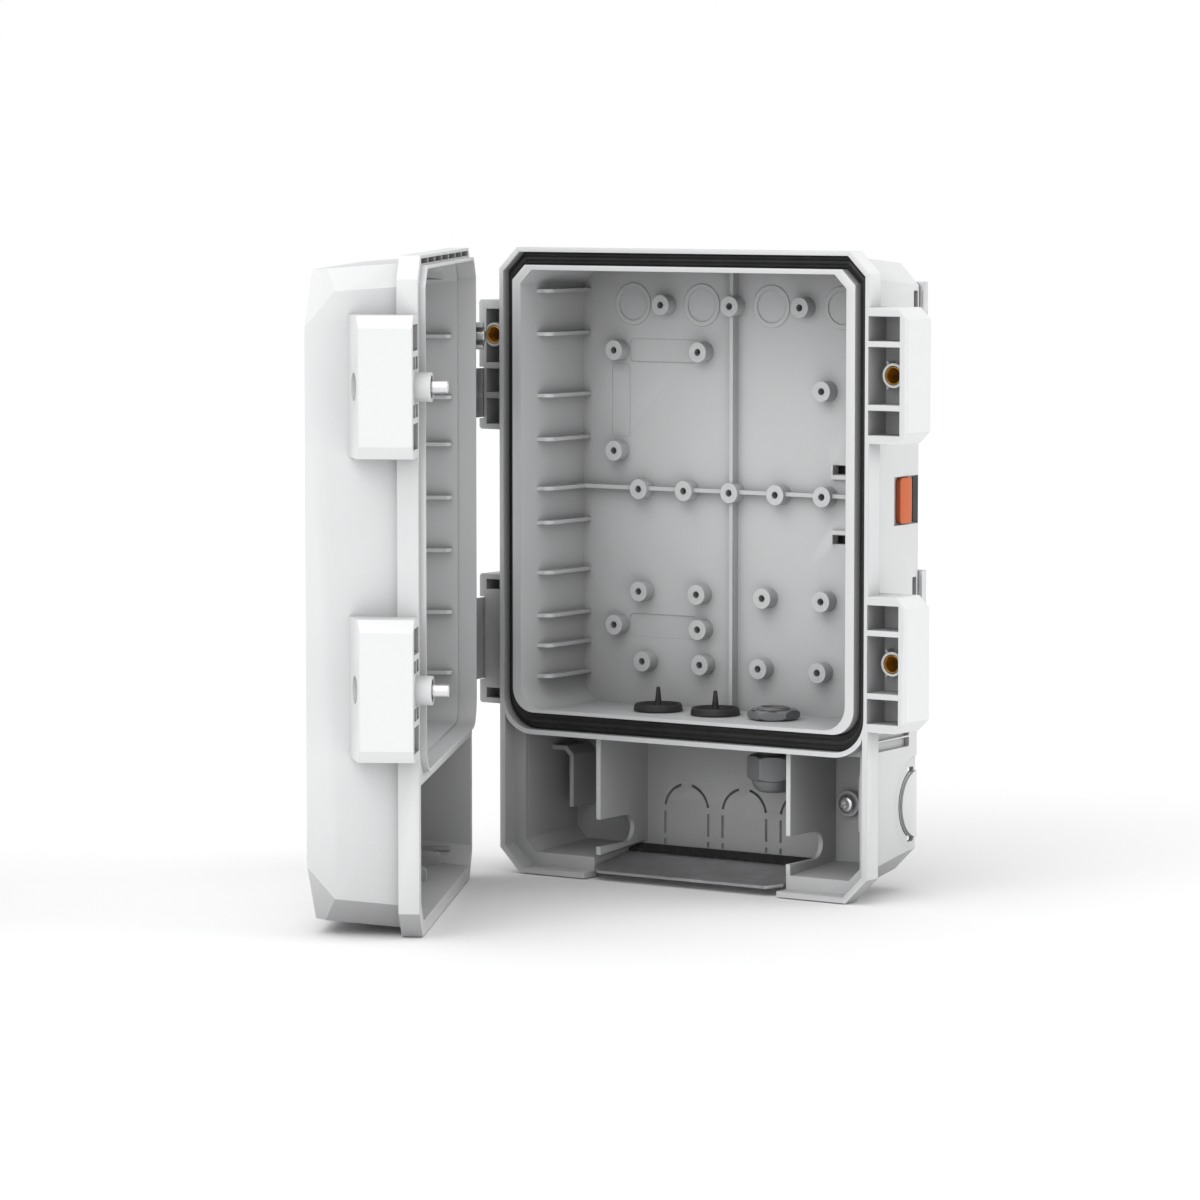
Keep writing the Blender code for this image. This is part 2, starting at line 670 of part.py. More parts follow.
def faceted(mesh, inset):
    """Cut the sloping ends and the four corner facets of the cover's front, set in by a wall."""
    bm = bmesh.new()
    bm.from_mesh(mesh)
    for up in (-1, 1):
        height = HEIGHT - CORNER_FACET if up > 0 else CORNER_FACET
        slope = Vector((0, -CORNER_FACET, up * CROWN)).normalized()
        cut_corner(bm, Vector((0, -COVER_DEPTH, height)) - slope * inset, slope)
        for side in (-1, 1):
            corner = Vector((side * COVER_HALF, -COVER_DEPTH, height))
            normal = Vector((side * FACET_NORMAL[0], FACET_NORMAL[1], up * FACET_NORMAL[2])).normalized()
            cut_corner(bm, corner - normal * inset, normal)
    return mesh_of(bm)


def cover_body():
    """Outer form of the cover's shell."""
    edge = outline(COVER_HALF, COVER_FOOT, HEIGHT - COVER_FOOT, TOP_CUT, FOOT_CUT)
    mesh = slab([edge], -COVER_DEPTH, -COVER_SKIRT + OVERLAP)
    draft(mesh, -COVER_SKIRT + OVERLAP, COVER_SIDE_DRAFT, COVER_TOP_DRAFT, COVER_TOP_DRAFT)
    return faceted(mesh, 0.0)


def sloped_end(mesh):
    """Slope the outer end of a free-edge block, so that it is deepest beside the shell."""
    for vertex in mesh.vertices:
        if vertex.co.y < -SEAM - OVERLAP:
            vertex.co.y = -COVER_BLOCK_OUTER - (BLOCK_OUT - vertex.co.x) * COVER_BLOCK_SLOPE
    return mesh


def cover_blocks():
    """Screw blocks on the free edge and hinge blocks on the other."""
    adds = []
    for span in BLOCK_SPANS.values():
        screw_side = plain_block(BLOCK_OUT, -COVER_BLOCK_DEPTH, -SEAM, span, BLOCK_CUT)
        adds.append(sloped_end(screw_side))
        adds.append(mirrored(plain_block(HINGE_BLOCK_OUT, -COVER_BLOCK_DEPTH, -SEAM, span, OVERLAP)))
    return joined(adds)


def knuckle_rooms():
    """Space round each hinge knuckle and leaf in the cover's hinge blocks."""
    cuts = []
    for low, high in KNUCKLES.values():
        z_span = (low - GAP, high + GAP)
        room = AXIS.x + KNUCKLE_ROOM
        cuts.append(block((-BLOCK_OUT, room), (AXIS.y - KNUCKLE_ROOM, OVERLAP), z_span))
    return joined(cuts)


def hinge_lugs():
    """Lugs above and below each knuckle, round the pin."""
    lugs = []
    for low, high in KNUCKLES.values():
        for start in (low - GAP - LUG_HEIGHT, high + GAP):
            end = start + LUG_HEIGHT
            lugs.append(rod((AXIS.x, AXIS.y, 0), "z", start, end, LUG_RADIUS, 24))
            lugs.append(block((AXIS.x, AXIS.x + 0.005), (AXIS.y - LUG_RADIUS, AXIS.y + 0.002), (start, end)))
    return lugs


def pin_rooms():
    """Bores for the hinge pins through the lugs, and room for their heads above."""
    cuts = []
    place = (AXIS.x, AXIS.y, 0)
    for low, high in KNUCKLES.values():
        top = high + GAP + LUG_HEIGHT
        cuts.append(rod(place, "z", low - 0.02, top + OVERLAP, PIN_RADIUS + GAP, 24))
        cuts.append(rod(place, "z", top, top + PIN_ROOM, PIN_HEAD_RADIUS + GAP * 2, 24))
    return cuts


def screw_places():
    """Where each cover screw sits: side, height, sleeve tip and layout."""
    inserts = insert_places()
    return {
        "upper_right": (1, inserts["upper_right"][1], SLEEVE_TIP, SCREW_LAYOUT),
        "lower_right": (1, inserts["lower_right"][1], SLEEVE_TIP, SCREW_LAYOUT),
        "upper_left": (-1, inserts["upper_left"][1], HINGE_SLEEVE_TIP, HINGE_SCREW_LAYOUT),
    }


def cover_sleeves():
    """Sleeves that guide the screws, past the rim plane into the case's sockets."""
    sleeves = []
    for side, z, tip, _ in screw_places().values():
        place = (side * SCREW_X, 0, z)
        sleeves.append(rod(place, "y", SLEEVE_FLOOR[0], tip, SLEEVE_RADIUS))
    return joined(sleeves)


def cover_block_cuts():
    """Screwdriver wells, the necks under the screw heads and the wide bores of the sleeves."""
    wells = []
    necks = []
    bores = []
    for side, z, tip, _ in screw_places().values():
        place = (side * SCREW_X, 0, z)
        wells.append(rod(place, "y", -WELL_START, SLEEVE_FLOOR[0], ACCESS_RADIUS - 0.0005))
        necks.append(rod(place, "y", SLEEVE_FLOOR[0] - OVERLAP, 0.0, NECK_BORE))
        bores.append(rod(place, "y", SLEEVE_FLOOR[1], tip + OVERLAP, SLEEVE_BORE))
    return joined(wells), joined(necks), joined(bores)


def cover_windows():
    """Small windows above and below each sleeve in the rim side of the screw blocks."""
    cuts = []
    for low, high in BLOCK_SPANS.values():
        middle = (low + high) / 2
        edge = WINDOW_TALL / 2 + BLOCK_WALL
        for start, end in ((low + WINDOW_END, middle - edge), (middle + edge, high - WINDOW_END)):
            cuts.append(block((HALF_WIDTH, BLOCK_OUT - WINDOW_SIDE), (-0.0200, OVERLAP), (start, end)))
    return joined(cuts)


def cover_hollows():
    """The upper tray inside the tongue and the lower tray."""
    half, low, high, cut, radius = TONGUE
    wall = TONGUE_WALL
    inner = outline(half - wall, low + wall, high - wall, cut - wall / 2, radius - wall, ARC_STEPS)
    upper = slab([inner], -TRAY_BACK, TONGUE_TIP + OVERLAP)
    draft(upper, TONGUE_TIP + OVERLAP, 0.055, 0.055, 0.110)
    foot = outline(LOWER_TRAY_HALF, LOWER_TRAY_FOOT, LOWER_TRAY_TOP, 0.0, FOOT_CUT - 0.003)
    lower = slab([foot], -TRAY_BACK + 0.004, OVERLAP)
    draft(lower, OVERLAP, 0.055, 0.110, 0.0)
    return faceted(upper, COVER_WALL), faceted(lower, COVER_WALL)


def make_cover_shell(finish, parent):
    """The moulded cover, drawn closed."""
    skirt = slab([outline(HALF_WIDTH, 0.0, HEIGHT, TOP_CUT, FOOT_CUT)], -COVER_SKIRT, -SEAM)
    node = add_object("cover_shell", skirt, finish, parent, AXIS, AXIS)
    tongue = slab([outline(*TONGUE, ARC_STEPS)], -COVER_SKIRT, TONGUE_TIP)
    upper, lower = cover_hollows()
    wells, necks, bores = cover_block_cuts()
    steps = [("UNION", cover_body()), ("UNION", tongue), ("UNION", cover_blocks())]
    steps += [("DIFFERENCE", knuckle_rooms())]
    steps += [("UNION", lug) for lug in hinge_lugs()]
    steps += [("UNION", cover_sleeves()), ("DIFFERENCE", upper), ("DIFFERENCE", lower)]
    steps += [("DIFFERENCE", cut) for cut in (cover_windows(), wells, necks, bores)]
    inner = -HINGE_SLEEVE_INNER
    open_side = block((inner, inner + 0.01), (GAP - SEAM, 0.02), (HINGE_SCREW_Z - 0.008, HINGE_SCREW_Z + 0.008))
    steps += [("DIFFERENCE", open_side)] + [("DIFFERENCE", room) for room in pin_rooms()]
    build_up(node, steps, AXIS)
    shade_round(node)


# --- screws and inserts ------------------------------------------------------------------------
def make_inserts(finish, parent):
    """Brass inserts with a lead-in mouth."""
    for name, (side, z, face, _) in insert_places().items():
        place = (side * SCREW_X, 0, z)
        end = face + INSERT_LENGTH
        body = rod(place, "y", face, end, INSERT_RADIUS)
        node = add_object(f"brass_insert_{name}", body, finish, parent)
        lead = rod(place, "y", face - GAP, face + INSERT_LEAD, INSERT_MOUTH, ROUND_SIDES, INSERT_HOLE)
        hole = rod(place, "y", face - OVERLAP, end + OVERLAP, INSERT_HOLE)
        build_up(node, [("DIFFERENCE", lead), ("DIFFERENCE", hole)])
        shade_round(node)


def make_screws(steel, nylon, parent):
    """Captive cover screws and the clips that hold them in their sleeves."""
    for name, (side, z, _, (tip, shank, clip_offset)) in screw_places().items():
        place = Vector((side * SCREW_X, 0, z))
        head_end = tip - shank
        clip_start = tip - clip_offset
        clip_end = clip_start + CLIP_THICKNESS
        lengths = [
            rod(place, "y", head_end - SCREW_HEAD_LENGTH, head_end, SCREW_HEAD_RADIUS),
            rod(place, "y", head_end - GAP, tip - 0.0006, SCREW_RADIUS),
        ]
        node = add_object(f"cover_screw_{name}", lengths[0], steel, parent, place, AXIS)
        point = rod(place, "y", tip - 0.0008, tip, SCREW_RADIUS, ROUND_SIDES, SCREW_RADIUS - 0.0006)
        socket = rod(place, "y", head_end - SCREW_HEAD_LENGTH - OVERLAP, head_end - 0.0020, SCREW_HEX, 6)
        ring = slab([circle(side * SCREW_X, z, 0.0045), circle(side * SCREW_X, z, SCREW_GROOVE_RADIUS)],
                    clip_start - GAP, clip_end + GAP)
        steps = [("UNION", lengths[1]), ("UNION", point), ("DIFFERENCE", socket), ("DIFFERENCE", ring)]
        build_up(node, steps, place)
        shade_round(node)
        clip_body = slab([circle(side * SCREW_X, z, CLIP_RADIUS),
                          circle(side * SCREW_X, z, SCREW_GROOVE_RADIUS + GAP)], clip_start, clip_end)
        clip = add_object(f"screw_clip_{name}", clip_body, nylon, parent, place, AXIS)
        shade_round(clip)


def circle(x, z, radius, sides=ROUND_SIDES):
    """Points round a circle."""
    turns = [2 * math.pi * step / sides for step in range(sides)]
    return [(x + radius * math.cos(turn), z + radius * math.sin(turn)) for turn in turns]


# --- hinges ------------------------------------------------------------------------------------
def make_hinges(steel, parent):
    """Steel leaves fixed to the case, and their pins."""
    for name, (low, high) in KNUCKLES.items():
        knuckle = rod((AXIS.x, AXIS.y, 0), "z", low, high, KNUCKLE_RADIUS, 24)
        leaf = add_object(f"hinge_leaf_{name}", knuckle, steel, parent)
        plate = block(LEAF_X, (AXIS.y, LEAF_BACK), (low, high))
        bore = rod((AXIS.x, AXIS.y, 0), "z", low - OVERLAP, high + OVERLAP, PIN_RADIUS + GAP, 24)
        build_up(leaf, [("UNION", plate), ("DIFFERENCE", bore)])
        shade_round(leaf)
        top = high + GAP * 2 + LUG_HEIGHT
        foot = low - GAP - LUG_HEIGHT
        shank = rod((AXIS.x, AXIS.y, 0), "z", foot, top + OVERLAP / 2, PIN_RADIUS, 24)
        pin = add_object(f"hinge_pin_{name}", shank, steel, parent)
        cap = rod((AXIS.x, AXIS.y, 0), "z", top, top + PIN_HEAD, PIN_HEAD_RADIUS, 24)
        build_up(pin, [("UNION", cap)])
        shade_round(pin)


# --- seals, plugs and gland --------------------------------------------------------------------
def make_gasket(finish, parent):
    """Gasket in the rim groove."""
    half, low, high, cut, radius = GROOVE_OUTER
    outer = outline(half - GAP, low + GAP, high - GAP, cut, radius, ARC_STEPS)
    half, low, high, cut, radius = GROOVE_INNER
    inner = outline(half + GAP, low - GAP, high + GAP, cut, radius, ARC_STEPS)
    add_object("gasket", slab([outer, inner], GASKET_FACE, GROOVE_DEPTH - GAP), finish, parent)


def make_plugs(finish, parent):
    """Blanking plugs in the floor, each with a pull stem."""
    for name, x in PLUG_PLACES.items():
        place = (x, FLOOR_Y, 0)
        seat = CAVITY_FLOOR + GAP
        dish = rod(place, "z", seat, seat + PLUG_RIM, PLUG_RADIUS, 24, PLUG_RADIUS - 0.0012)
        node = add_object(f"blanking_plug_{name}", dish, finish, parent)
        hollow = rod(place, "z", seat + 0.0012, seat + PLUG_RIM + OVERLAP, 0.0070, 24, PLUG_RADIUS - 0.0016)
        neck = rod(place, "z", CAVITY_FLOOR - FLOOR_THICKNESS - 0.0025, seat + 0.0006, PLUG_NECK)
        stem = rod(place, "z", seat + 0.0006, STEM_TOP, STEM_RADIUS * 1.7, 12, STEM_RADIUS * 0.6)
        build_up(node, [("DIFFERENCE", hollow), ("UNION", neck), ("UNION", stem)])
        shade_round(node)


def hexagon(x, y, start, end, half_flats):
    """Upright hexagonal prism."""
    return rod((x, y, 0), "z", start, end, half_flats / math.cos(math.pi / 6), 6)


def make_gland(plastic, rubber, parent):
    """Cable gland through the floor: locknut, body, sealing insert and dome nut."""
    x, y = GLAND_X, FLOOR_Y
    roof = CAVITY_FLOOR - FLOOR_THICKNESS
    nut = hexagon(x, y, CAVITY_FLOOR + GAP, CAVITY_FLOOR + 0.0048, GLAND_HEX)
    locknut = add_object("gland_locknut", nut, plastic, parent)
    nut_hole = rod((x, y, 0), "z", CAVITY_FLOOR - OVERLAP, CAVITY_FLOOR + 0.006, GLAND_THREAD + GAP, 24)
    build_up(locknut, [("DIFFERENCE", nut_hole)])
    flange = hexagon(x, y, roof - GAP - 0.0052, roof - GAP, GLAND_HEX)
    body = add_object("gland_body", flange, plastic, parent)
    thread = rod((x, y, 0), "z", roof - 0.001, CAVITY_FLOOR + 0.0062, GLAND_THREAD, 24)
    neck = rod((x, y, 0), "z", roof - 0.0215, roof - 0.005, GLAND_THREAD, 24)
    bore = rod((x, y, 0), "z", roof - 0.03, CAVITY_FLOOR + 0.01, 0.0062, 24)
    build_up(body, [("UNION", thread), ("UNION", neck), ("DIFFERENCE", bore)])
    shade_round(body)
    seal = rod((x, y, 0), "z", roof - 0.0240, roof - 0.0100, 0.0059, 24)
    insert = add_object("gland_insert", seal, rubber, parent)
    seal_bore = rod((x, y, 0), "z", roof - 0.03, roof, 0.0040)
    build_up(insert, [("DIFFERENCE", seal_bore)])
    shade_round(insert)
    top = roof - 0.0140
    place = Vector((x, y, top))
    dome = add_object("gland_dome_nut", hexagon(x, y, top - 0.0120, top, GLAND_HEX), plastic, parent, place)
    cap = rod((x, y, 0), "z", top - 0.0178, top - 0.0115, 0.0072, 24, 0.0106)
    room = rod((x, y, 0), "z", top - 0.0100, top + OVERLAP, GLAND_THREAD + GAP, 24)
    mouth = rod((x, y, 0), "z", top - 0.0190, top - 0.0090, 0.0050, 24)
    room_foot = rod((x, y, 0), "z", top - 0.0110, top - 0.0090, 0.0064, 24)
    steps = [("UNION", cap), ("DIFFERENCE", room), ("DIFFERENCE", mouth), ("DIFFERENCE", room_foot)]
    build_up(dome, steps, place)
    shade_round(dome)


# --- bracket, plate and trim -------------------------------------------------------------------
def make_bracket(finish, parent):
    """Flat wall bracket with two ears on each side."""
    span = (BRACKET_FRONT, WALL_Y)
    plate = block((-BRACKET_HALF, BRACKET_HALF), span, BRACKET_SPAN)
    node = add_object("wall_bracket", plate, finish, parent)
    ears = [("UNION", block((-BRACKET_EAR_HALF, BRACKET_EAR_HALF), span, ear)) for ear in BRACKET_EARS]
    slots = []
    for z in (0.255, 0.075):
        for x in (-0.045, 0.045):
            slots.append(rod((x, 0, z), "y", BRACKET_FRONT - OVERLAP, WALL_Y + OVERLAP, 0.0035))
    for side in (-1, 1):
        place = (side * FIXING_X, 0, FIXING_Z)
        slots.append(rod(place, "y", BRACKET_FRONT - OVERLAP, WALL_Y + OVERLAP, FIXING_SHANK_RADIUS + GAP, 12))
    build_up(node, ears + [("DIFFERENCE", joined(slots))])


def make_fixings(finish, parent):
    """Screws in the lower compartment that hold the case on its bracket."""
    for name, side in (("left", -1), ("right", 1)):
        place = (side * FIXING_X, 0, FIXING_Z)
        head_start = BACK_WALL - 0.0070
        head_end = BACK_WALL - 0.0040 - GAP
        head = rod(place, "y", head_start, head_end, FIXING_HEAD_RADIUS - 0.0008, 24, FIXING_HEAD_RADIUS)
        node = add_object(f"mounting_screw_{name}", head, finish, parent)
        shank = rod(place, "y", head_end - GAP, WALL_Y - OVERLAP, FIXING_SHANK_RADIUS, 12)
        drive = rod(place, "y", head_start - OVERLAP, head_start + 0.0015, 0.0016, 6)
        build_up(node, [("UNION", shank), ("DIFFERENCE", drive)])
        shade_round(node)


def make_slider(orange, black, parent):
    """Sliding lock on the right side and the plain plate beside it."""
    surface = HALF_WIDTH - SHELL_INSET - SIDE_DRAFT * (SLIDER_Y[0] - RIM_DEPTH)
    floor = surface - SLIDER_RECESS + GAP
    z_span = (SLIDER_Z[0] + GAP, SLIDER_Z[1] - GAP)
    place = Vector((floor, SLIDER_Y[0], sum(z_span) / 2))
    body = block((floor, surface + 0.0006), SLIDER_Y, z_span)
    node = add_object("lock_slider", body, orange, parent, place)
    shape = node.modifiers.new("soft edges", "BEVEL")
    shape.width = 0.0005
    shape.segments = 1
    label = block((floor, surface - 0.0012), LABEL_Y, z_span)
    add_object("position_plate", label, black, parent)


def make_entry_plate(steel, black, parent):
    """Sheet steel plate that closes the bottom, and the foam strip behind it."""
    turn = Matrix.Rotation(PLATE_SLOPE, 4, "X")
    x_low, x_high = PLATE_X
    start, end = PLATE_Y
    points = [(x_low + PLATE_CUT, start), (x_high - PLATE_CUT, start), (x_high, start + PLATE_CUT)]
    points += [(x_high, end), (x_low, end), (x_low, start + PLATE_CUT)]
    sheet = slab([points], -PLATE_THICKNESS / 2, PLATE_THICKNESS / 2)
    sheet.transform(Matrix.Rotation(-math.pi / 2, 4, "X"))
    sheet.transform(turn)
    moved(sheet, Vector((0, 0, PLATE_Z)))
    place = Vector((0, start, PLATE_Z))
    add_object("entry_plate", sheet, steel, parent, place)
    strip = block((x_low, x_high), (end + 2 * GAP, OPENING_BACK - GAP), (-0.0010, 0.0022))
    strip.transform(turn)
    moved(strip, Vector((0, 0, PLATE_Z)))
    add_object("entry_foam", strip, black, parent)


def main():
    """Build the whole box, with its cover open."""
    light_grey = material("light_grey_plastic", (0.78, 0.79, 0.79), 0.45)
    mid_grey = material("grey_nylon", (0.30, 0.30, 0.31), 0.45)
    black_rubber = material("black_rubber", (0.015, 0.015, 0.016), 0.65)
    black_plate = material("black_plastic", (0.02, 0.02, 0.02), 0.5)
    orange = material("orange_plastic", (0.62, 0.15, 0.04), 0.45)
    brass = material("brass", (0.60, 0.36, 0.08), 0.3, 1.0)
    steel = material("steel", (0.62, 0.62, 0.62), 0.3, 1.0)
    bracket_grey = material("coated_steel", (0.55, 0.56, 0.57), 0.4, 0.6)
    case = empty("case_origin", Vector((0, -WALL_Y, -HEIGHT / 2)))
    cover = empty("cover_axis", AXIS, -OPEN_ANGLE, case)
    make_base_shell(light_grey, case)
    make_gasket(black_rubber, case)
    make_inserts(brass, case)
    make_hinges(steel, case)
    make_plugs(black_rubber, case)
    make_gland(mid_grey, black_rubber, case)
    make_bracket(bracket_grey, case)
    make_fixings(steel, case)
    make_slider(orange, black_plate, case)
    make_entry_plate(steel, black_rubber, case)
    make_cover_shell(light_grey, cover)
    make_screws(steel, mid_grey, cover)


clear_scene()
parts = new_collection("junction_box")
cutters = new_collection("cutters")
main()
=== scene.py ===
"""Looks of the junction box: finely moulded shells, fittings, procedural materials, light and camera.

Everything is drawn in the case frame (x = 0 in the middle, y = 0 on the rim plane with +Y towards the
wall, z = 0 at the foot of the rim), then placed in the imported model's frame. The cover is drawn closed
and swung open on the hinge axis. Lengths are in metres.
"""

import math

import bmesh
import bpy
from mathutils import Matrix, Vector


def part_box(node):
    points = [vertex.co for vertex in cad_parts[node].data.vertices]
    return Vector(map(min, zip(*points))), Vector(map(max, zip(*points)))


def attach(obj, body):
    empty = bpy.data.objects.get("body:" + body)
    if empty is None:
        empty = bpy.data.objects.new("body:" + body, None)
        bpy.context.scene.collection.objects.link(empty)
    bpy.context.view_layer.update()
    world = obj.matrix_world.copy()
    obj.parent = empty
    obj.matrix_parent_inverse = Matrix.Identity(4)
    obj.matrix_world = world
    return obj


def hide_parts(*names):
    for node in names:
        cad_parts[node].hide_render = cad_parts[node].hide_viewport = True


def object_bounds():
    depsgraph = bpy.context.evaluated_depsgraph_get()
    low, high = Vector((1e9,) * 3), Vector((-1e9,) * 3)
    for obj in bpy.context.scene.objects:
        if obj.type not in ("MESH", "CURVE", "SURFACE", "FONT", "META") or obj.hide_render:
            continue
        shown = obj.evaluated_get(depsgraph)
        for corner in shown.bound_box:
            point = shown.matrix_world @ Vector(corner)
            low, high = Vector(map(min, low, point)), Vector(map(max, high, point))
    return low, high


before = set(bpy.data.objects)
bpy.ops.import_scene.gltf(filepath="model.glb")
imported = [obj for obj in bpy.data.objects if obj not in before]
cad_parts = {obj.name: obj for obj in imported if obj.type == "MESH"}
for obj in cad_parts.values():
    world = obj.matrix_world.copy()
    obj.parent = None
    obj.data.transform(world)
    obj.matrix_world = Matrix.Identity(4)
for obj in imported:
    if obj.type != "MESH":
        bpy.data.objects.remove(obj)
CAD_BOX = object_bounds()

# --- overall sizes -----------------------------------------------------------------------------
HALF_WIDTH = 0.105
HEIGHT = 0.3054
WALL_Y = 0.064  # wall plane, behind the rim plane
TOP_CUT = 0.0104  # corner chamfers of the rim
FOOT_CUT = 0.0118
GAP = 0.0003  # between neighbouring pieces
OVERLAP = 0.001  # how far cutters pass the faces they cut
SEAM = 0.0005  # between the two rims when the cover is shut

# --- base shell --------------------------------------------------------------------------------
RIM_DEPTH = 0.010
SHELL_INSET = 0.0055
SHELL_FOOT = 0.0025
SHELL_TOP = 0.3030
SHELL_DEPTH = 0.0595
SIDE_DRAFT = 0.060  # wall slopes, as run over depth
TOP_DRAFT = 0.085
FOOT_DRAFT = 0.130
BACK_WALL = 0.050
BACK_THICKNESS = 0.003
SKIRT_WALL = 0.0030

# --- upper compartment -------------------------------------------------------------------------
CAVITY_HALF = 0.0925
CAVITY_FLOOR = 0.0810
CAVITY_TOP = 0.2945
CAVITY_CUT = 0.0065
CAVITY_RADIUS = 0.012
CAVITY_DRAFT = 0.060
FLOOR_THICKNESS = 0.003
GROOVE_OUTER = (0.1027, 0.0709, 0.3032, 0.0095, 0.0165)  # half width, low, high, cut, foot radius
GROOVE_INNER = (0.0973, 0.0792, 0.2969, 0.0073, 0.0120)
GROOVE_DEPTH = 0.0073
ARC_STEPS = 12
RIB_HEIGHTS = (0.2840, 0.2630, 0.2330, 0.2117, 0.1710, 0.1465, 0.1254, 0.1107, 0.0956)
RIB_LENGTH = 0.0045
RIB_THICKNESS = 0.0018
CROSS_RIB_Z = 0.1876
RIB_FRONT = 0.014
BACK_RIB_HEIGHT = 0.0050
BACK_RIB_THICKNESS = 0.0020
BACK_RIB_END = 0.006  # from the cavity wall at the rim
BOSS_RADIUS = 0.0049
BOSS_HOLE_RADIUS = 0.0018
BOSS_FRONT = 0.0430
BOSS_ROWS = {  # height: places across
    0.2772: (-0.0398, 0.0, 0.0398),
    0.2547: (-0.0671, -0.0182),
    0.2375: (0.0523,),
    0.2055: (-0.0671,),
    0.1871: (-0.0526, -0.0263, 0.0, 0.0263, 0.0526),
    0.1369: (-0.0525, -0.0188, 0.0190, 0.0523),
    0.1198: (-0.0670, -0.0181),
    0.1026: (-0.0504, -0.0168, 0.0168, 0.0504),
}
BOSS_SIDES = 40

# --- lower compartment -------------------------------------------------------------------------
LEDGE_HALF = 0.102
LEDGE_FOOT = 0.0028
LEDGE_Y = 0.0086
BAR_WALL = 0.0024  # rim wall left round the groove
CHAMBER_HALF = 0.0958
CHAMBER_FLOOR = 0.0095
CHAMBER_CUT = 0.006
CHAMBER_FLOOR_DRAFT = 0.06
PARTITIONS = ((-0.0539, -0.0514), (0.0549, 0.0573))
NOTCH_END = 0.038
NOTCH_Z = (0.0147, 0.0282)
HOOK_SPAN = 0.0138
HOOK_TOP = 0.0600
HOOK_FOOT = 0.0300
HOOK_THICKNESS = 0.0023
HOOK_FRONT = 0.030
OPENING_HALF = 0.055
OPENING_BACK = 0.0485

# --- corner blocks -----------------------------------------------------------------------------
BLOCK_OUT = 0.1256
BLOCK_BACK = 0.021
BLOCK_CUT = 0.0055
BLOCK_SPANS = {"upper": (0.21625, 0.2795), "lower": (0.0816, 0.1452)}
BLOCK_WALL = 0.0027
SCREW_X = 0.1135
SCREW_SOCKET_RADIUS = 0.0085
BOSS_FACE_Y = 0.0075
HINGE_BLOCK_OUT = 0.122
HINGE_BLOCK_FRONT = 0.007
HINGE_SCREW_Z = 0.2625
WINDOW_TALL = 0.0268  # middle window that holds the insert
WINDOW_DEPTH = 0.016
WINDOW_END = 0.0040  # block left above and below the windows
WINDOW_SIDE = 0.0042  # block left beside them
HINGE_WINDOWS = (0.0027, 0.0152, 0.0181, 0.0297, 0.0326, 0.05885)  # edges above the block's foot

# --- fasteners ---------------------------------------------------------------------------------
INSERT_RADIUS = 0.0043
INSERT_MOUTH = 0.0038
INSERT_LENGTH = 0.0125
SCREW_RADIUS = 0.00295
SCREW_LAYOUT = (0.0145, 0.0235, 0.0122)  # tip, shank length, tip to clip
HINGE_SCREW_LAYOUT = (0.0055, 0.0185, 0.0092)
SCREW_HEAD_RADIUS = 0.0050
SCREW_HEAD_LENGTH = 0.0055
SCREW_GROOVE_RADIUS = 0.0023
CLIP_RADIUS = 0.0048
CLIP_THICKNESS = 0.0010
ROUND_SIDES = 48

# --- cover -------------------------------------------------------------------------------------
COVER_DEPTH = 0.052
COVER_SKIRT = 0.010
COVER_WALL = 0.0025
COVER_TOP_DRAFT = 0.075
COVER_SIDE_DRAFT = 0.040
COVER_HALF = 0.1005
COVER_FOOT = 0.0033
CORNER_FACET = 0.0345  # how far the end slopes and corner facets start from the ends
CROWN = 0.0022
FACET_NORMAL = (0.70, -0.547, 0.454)
TONGUE = (0.1010, 0.0740, 0.3010, 0.0093, 0.0150)
TONGUE_WALL = 0.0020
TONGUE_TIP = 0.0024
TRAY_BACK = 0.0485
LOWER_TRAY_HALF = 0.0985
LOWER_TRAY_FOOT = 0.0065
LOWER_TRAY_TOP = 0.0690
COVER_BLOCK_DEPTH = 0.0288
COVER_BLOCK_OUTER = 0.0243  # depth of the free-edge blocks at their outer side
COVER_BLOCK_SLOPE = 0.307  # how much deeper they get towards the shell, as a slope
WELL_START = 0.0345
ACCESS_RADIUS = 0.00675
SLEEVE_RADIUS = 0.0066
SLEEVE_BORE = 0.0052
NECK_BORE = 0.0036
SLEEVE_TIP = 0.0068
HINGE_SLEEVE_TIP = 0.0045
HINGE_SLEEVE_INNER = 0.1105
SLEEVE_FLOOR = (-0.0060, -0.0040)  # web that the screw's head seats on

# --- hinges ------------------------------------------------------------------------------------
AXIS = Vector((-0.1229, -0.0080, 0.0))
OPEN_ANGLE = math.radians(60.8)
KNUCKLE_RADIUS = 0.0030
PIN_RADIUS = 0.0015
PIN_HEAD_RADIUS = 0.0026
PIN_HEAD = 0.0012
PIN_ROOM = 0.0030  # clear height above each top lug
LUG_RADIUS = 0.0036
LUG_HEIGHT = 0.0070
LEAF_X = (-0.1216, -0.1196)
LEAF_BACK = 0.0205
KNUCKLES = {"upper": (0.2220, 0.2460), "lower": (0.0935, 0.1333)}
KNUCKLE_ROOM = 0.0039  # cleared round the knuckle in the cover's block

